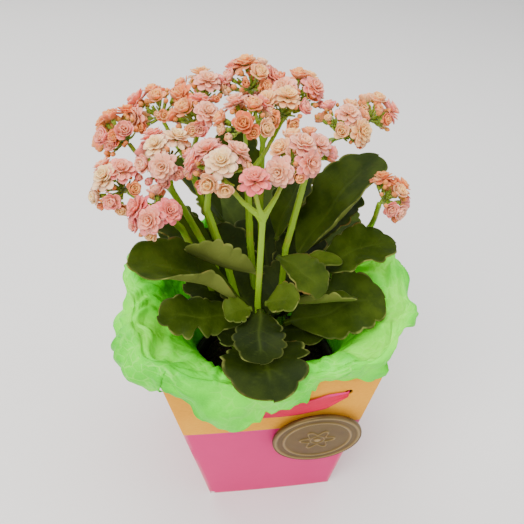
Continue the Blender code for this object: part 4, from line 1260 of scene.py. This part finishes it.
def floretValues(kind, tone, size, draw):
    rings = petalRings[kind]
    values, colours = [], []
    outerTip, outerRoot, innerTip, innerRoot = [np.array(c) for c in petalTones[tone]]
    start = draw.uniform(0, 6.28)
    for number, (count, lift, length, width, curl, out, rise) in enumerate(rings):
        share = number / max(1, len(rings) - 1)
        k = np.arange(count)
        turn = start + number * 0.42 + 2 * np.pi * k / count + draw.normal(0, 0.07, count)
        scale = size * draw.normal(1, 0.05, count)
        values.append(np.stack([turn, np.radians(lift + draw.normal(0, 5, count)), length * scale,
                                width * size * draw.normal(1, 0.06, count),
                                np.radians(curl + draw.normal(0, 9, count)), draw.uniform(0.20, 0.46, count),
                                np.full(count, out * size), np.full(count, rise * size)], -1))
        blend = share ** 0.8
        tip, root = outerTip * (1 - blend) + innerTip * blend, outerRoot * (1 - blend) + innerRoot * blend
        vary = draw.normal(1, 0.05, (count, 1))
        colours.append(np.concatenate([np.clip(tip * vary, 0, 0.95), np.clip(root * vary, 0, 0.95)], 1))
    return np.concatenate(values), np.concatenate(colours)


def sepalValues(size, draw, spread=38):
    k = np.arange(4)
    turn = draw.uniform(0, 6.28) + k * np.pi / 2
    one = np.ones(4)
    values = np.stack([turn, np.radians(spread) * one, 3.6 * size * one, 2.1 * size * one,
                       np.radians(20) * one,
                       0.2 * one, 0.5 * size * one, -1.3 * size * one], -1)
    tone = np.array(flowerLook["sepalTone"])
    return values, np.tile(np.concatenate([tone * 1.15, tone * 0.8]), (4, 1))


def frameOf(direction):
    # two directions square to a third, for whole arrays
    helper = np.where(np.abs(direction[..., 2:3]) > 0.95, [[1.0, 0.0, 0.0]], [[0.0, 0.0, 1.0]])
    first = unit(np.cross(helper, direction))
    return first, np.cross(direction, first)


def tubes(start, end, sag, radiusStart, radiusEnd, rows, columns):
    # bent tubes closed at both ends: a parabola between two points, sag is its offset at the middle
    t = np.linspace(0, 1, rows)[None, :, None]
    middle = start[:, None] * (1 - t) + end[:, None] * t + sag[:, None] * 4 * t * (1 - t)
    way = unit(np.gradient(middle, axis=1))
    first, second = frameOf(way)
    turn = np.linspace(0, 2 * np.pi, columns, endpoint=False)[None, None, :, None]
    radius = (radiusStart * (1 - t) + radiusEnd * t)[..., None] * np.ones((len(start), 1, 1, 1))
    radius[:, [0, -1]] = 0
    middle = middle.copy()
    middle[:, 0], middle[:, -1] = middle[:, 1] - way[:, 1] * 1e-4, middle[:, -2] + way[:, -2] * 1e-4
    ring = np.cos(turn) * first[:, :, None] + np.sin(turn) * second[:, :, None]
    return middle[:, :, None] + radius * ring


def budGrids(spots, directions, size):
    # closed buds: an egg with a pointed end, 8 columns round
    t = np.linspace(0, 1, 8)
    radius = np.sin(np.pi * t ** 0.90) ** 0.62 * (1 - 0.22 * t)
    radius[[0, -1]] = 0
    turn = np.linspace(0, 2 * np.pi, 8, endpoint=False)
    first, second = frameOf(directions)
    ring = 1 + 0.06 * np.cos(4 * turn)
    out = (radius[:, None] * ring)[None, :, :, None] * size[:, None, None, None]
    return (spots[:, None, None] + out * (np.cos(turn)[None, None, :, None] * first[:, None, None]
            + np.sin(turn)[None, None, :, None] * second[:, None, None])
            + directions[:, None, None] * (t * 2.3)[None, :, None, None] * size[:, None, None, None])


def collect(parts, grids, colourAt, alongAt, acrossAt):
    # adds a stack of equal grids to a growing mesh
    count, rows, columns = grids.shape[:3]
    first = sum(len(p["points"]) for p in parts)
    quads = gridQuads(rows, columns, closeColumns=True)[:, ::-1]
    quads = (quads[None] + (first + np.arange(count) * rows * columns)[:, None, None]).reshape(-1, 4)
    shape = (count, rows, columns)
    parts.append({"points": grids.reshape(-1, 3), "quads": quads,
                  "shade": np.broadcast_to(colourAt, shape + (3,)).reshape(-1, 3),
                  "along": np.broadcast_to(alongAt, shape).ravel(),
                  "across": np.broadcast_to(acrossAt, shape).ravel()})


def makeHead(node, finish, plantHeart, seed):
    radius, spin, kinds, tones, halves, budCount = headWays[node[8:]]
    draw = np.random.default_rng(seed)
    corners = vertexPlaces(node)
    near = np.argsort(np.linalg.norm(corners - plantHeart, axis=1))[:3]
    foot = corners[near].mean(0)
    axis = unit(foot - plantHeart)
    centre = foot + axis * 0.95 * radius * mm
    axis = unit(centre - plantHeart)
    e1, e2 = [v[0] for v in frameOf(axis[None])]
    count = len(kinds)
    names = {"O": "open", "H": "half", "T": "tight"}
    spots = []
    for k in range(count):
        height = 1 - (k + 0.35) / count * (1 - math.cos(math.radians(70)))
        if count == 1:
            height = 1.0
        tone = tones.split()[k % len(tones.split())]
        spots.append((height, k * goldenTurn + math.radians(spin), names[kinds[k]], tone, 1.2, 1.0))
    halves = math.ceil(halves * flowerLook["fullness"])
    budCount = math.ceil(budCount * flowerLook["budFullness"]) if count > 1 else 0
    for k in range(halves):
        height = math.cos(math.radians(draw.uniform(62, 88)))
        turn = (k + 0.5) * 2 * math.pi / halves + draw.normal(0, 0.3)
        tone = str(draw.choice(["peach", "salmon", "pink", "cream"]))
        spots.append((height, turn, "tight" if k % 2 else "half", tone, 1.08, 0.84))
    parts = []
    stalkEnds, calyxEnds = [], []
    for height, turn, kind, tone, far, size in spots:
        flat = math.sqrt(max(0, 1 - height ** 2))
        sideways = flat * (math.cos(turn) * e1 + math.sin(turn) * e2)
        way = unit(axis * height + sideways + draw.normal(0, 0.05, 3))
        face = unit(way + np.array([0, 0, 0.10 if count > 1 else 0.9]))
        length = (far * radius - (2.4 if kind == "open" else 3.4) * size) * mm
        base = foot + way * length
        stalkEnds.append(base - face * 4.4 * mm * size)
        calyxEnds.append(base + face * 0.3 * mm)
        size = size * flowerLook["size"] * draw.normal(1.0, 0.05)
        values, colours = floretValues(kind, tone, size, draw)
        sepals, green = sepalValues(size * 0.9, draw, 42 if kind == "open" else 60)
        values, colours = np.concatenate([values, sepals]), np.concatenate([colours, green])
        a, b = [v[0] for v in frameOf(face[None])]
        grids = petalGrids(values) * mm
        grids = base + grids[..., :1] * a + grids[..., 1:2] * b + grids[..., 2:] * face
        s = petalRows[None, :, None, None]
        shade = colours[:, None, None, :3] * s + colours[:, None, None, 3:] * (1 - s)
        under = (petalFaces < 0)[None, None, :, None]
        shade = np.where(under, shade * (0.97, 0.86, 0.86), shade) * flowerLook["tint"]
        turnShare = np.broadcast_to(values[:, 0, None, None], grids.shape[:3])
        collect(parts, grids, shade, s[..., 0] + turnShare, petalColumns[None, None, :])
    budWays, budSpots, budSizes = [], [], []
    for k in range(budCount):
        tilt = math.radians(draw.uniform(22, 92))
        turn = k * goldenTurn + spin + 1.1
        way = unit(axis * math.cos(tilt) + math.sin(tilt) * (math.cos(turn) * e1 + math.sin(turn) * e2))
        reach = radius * draw.uniform(0.72, 1.0) * mm
        budWays.append(unit(way + np.array([0, 0, 0.25])))
        budSpots.append(foot + way * reach)
        budSizes.append(draw.uniform(1.1, 1.9) * mm)
    if budCount:
        budWays, budSpots, budSizes = np.array(budWays), np.array(budSpots), np.array(budSizes)
        root, tip = np.array(flowerLook["budRoot"]), np.array(flowerLook["budTip"])
        t = np.linspace(0, 1, 8)[None, :, None, None]
        vary = draw.normal(1, 0.10, (budCount, 1, 1, 1))
        shade = np.clip((root * (1 - t ** 0.7) + tip * t ** 0.7) * vary, 0, 0.95)
        collect(parts, budGrids(budSpots, budWays, budSizes), shade, t[..., 0], 0.0)
        for spot, way, size in zip(budSpots, budWays, budSizes):
            sepals, green = sepalValues(size / mm * 0.42, draw, 62)
            a, b = [v[0] for v in frameOf(way[None])]
            grids = petalGrids(sepals) * mm
            grids = spot + way * size * 0.5 + grids[..., :1] * a + grids[..., 1:2] * b + grids[..., 2:] * way
            s = petalRows[None, :, None, None]
            shade = green[:, None, None, :3] * s + green[:, None, None, 3:] * (1 - s)
            collect(parts, grids, shade, s[..., 0], 0.0)
    look = flowerLook
    calyxFoot, calyxTop = np.array(stalkEnds), np.array(calyxEnds)
    cups = tubes(calyxFoot, calyxTop, 0 * calyxFoot, 0.55 * look["calyx"] * mm, look["calyx"] * mm, 6, 8)
    collect(parts, cups, np.array(look["sepalTone"]) * 1.25, 0.0, 0.0)
    ends = np.array(stalkEnds + list(budSpots))
    starts = np.repeat(foot[None], len(ends), 0) + axis * 0.6 * mm
    sag = draw.normal(0, 0.5 * mm, (len(ends), 3)) - axis * 0.4 * mm
    stalks = tubes(starts, ends, sag, look["pedicel"] * mm * 1.5, look["pedicel"] * mm, 6, 6)
    collect(parts, stalks, np.array(look["stalkTone"]), 0.0, 0.0)
    cap = budGrids(foot[None] - axis * 2.2 * mm, axis[None], np.array([1.9 * mm]))
    collect(parts, cap, np.array(look["stalkTone"]), 0.0, 0.0)
    joined = {key: np.concatenate([p[key] for p in parts]) for key in parts[0]}
    head = makePiece(node.replace("flowers", "florets"), joined["points"], joined["quads"], finish,
                     {key: joined[key] for key in ("shade", "along", "across")}, merge=1e-6, outward=True)
    return place(head, [node])


def makeHeads():
    finish = petalFinish()
    plantHeart = np.array([0.0, 0.0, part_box("potting_soil")[1].z + 0.090])
    for seed, node in enumerate(sorted(n for n in nodes if n.startswith("flowers_"))):
        makeHead(node, finish, plantHeart, seed + 300)


# floor, light and camera

studio = {"floor": (0.80, 0.79, 0.775), "lens": 41.2, "target": (-0.001, 0.0, 0.190), "distance": 0.378,
          "turn": -6.1, "height": 40.0}


def makeStudio():
    # a large floor that curves up far behind, plain and pale
    y = np.concatenate([np.linspace(-3, 2.2, 14), 2.2 + 0.9 * np.sin(np.linspace(0.1, np.pi / 2, 14)), [3.1]])
    z = np.concatenate([np.zeros(14), 0.9 - 0.9 * np.cos(np.linspace(0.1, np.pi / 2, 14)), [3.5]])
    x = np.linspace(-4, 4, 9)
    points = np.stack([np.broadcast_to(x[None, :], (len(y), 9)), np.broadcast_to(y[:, None], (len(y), 9)),
                       np.broadcast_to(z[:, None], (len(y), 9))], -1)
    paint = Paint("floor", Base_Color=studio["floor"], Roughness=0.85, Specular_IOR_Level=0.2)
    floor = makePiece("floor", points, gridQuads(len(y), 9), paint.material)
    lights = [("key", (-0.55, -0.75, 1.35), 1.1, 34.0, (1.0, 0.975, 0.94)),
              ("fill", (1.20, -0.55, 0.85), 1.3, 10.0, (0.95, 0.97, 1.0)),
              ("top", (0.15, 0.25, 1.55), 1.2, 19.0, (1.0, 1.0, 1.0)),
              ("back", (-0.75, 1.05, 0.95), 1.0, 10.0, (1.0, 0.98, 0.95))]
    for name, spot, size, power, colour in lights:
        lamp = bpy.data.lights.new(name, "AREA")
        lamp.size, lamp.energy, lamp.color = size, power, colour
        holder = bpy.data.objects.new(name, lamp)
        holder.location = spot
        holder.rotation_mode = "QUATERNION"
        holder.rotation_quaternion = (Vector((0, 0, 0.15)) - Vector(spot)).to_track_quat("-Z", "Y")
        bpy.context.scene.collection.objects.link(holder)
    world = bpy.data.worlds.new("soft room")
    world.use_nodes = True
    world.node_tree.nodes["Background"].inputs["Color"].default_value = (0.93, 0.95, 1.0, 1.0)
    world.node_tree.nodes["Background"].inputs["Strength"].default_value = 0.45
    bpy.context.scene.world = world
    turn, height = math.radians(studio["turn"]), math.radians(studio["height"])
    back = Vector((math.sin(turn) * math.cos(height), -math.cos(turn) * math.cos(height), math.sin(height)))
    lens = bpy.data.cameras.new("camera")
    lens.lens, lens.sensor_width, lens.clip_start = studio["lens"], 36.0, 0.01
    camera = bpy.data.objects.new("camera", lens)
    camera.location = Vector(studio["target"]) + back * studio["distance"]
    camera.rotation_mode = "QUATERNION"
    camera.rotation_quaternion = (-back).to_track_quat("-Z", "Y")
    bpy.context.scene.collection.objects.link(camera)
    bpy.context.scene.camera = camera


makeStudio()
print("studio ready")
makeBox()
satin = satinFinish()
makeRibbon("ribbon_front_band", 1, satin, False)
makeRibbon("ribbon_back_band", -1, satin, False)
makeSeal()
makePad()
print("box, ribbons and seal made")
makePot()
makeSoil()
makeTissue()
print("pot, soil and tissue made")
makeStalks()
makeLeaves()
print("stalks and leaves made")
makeHeads()
print("flower heads made")
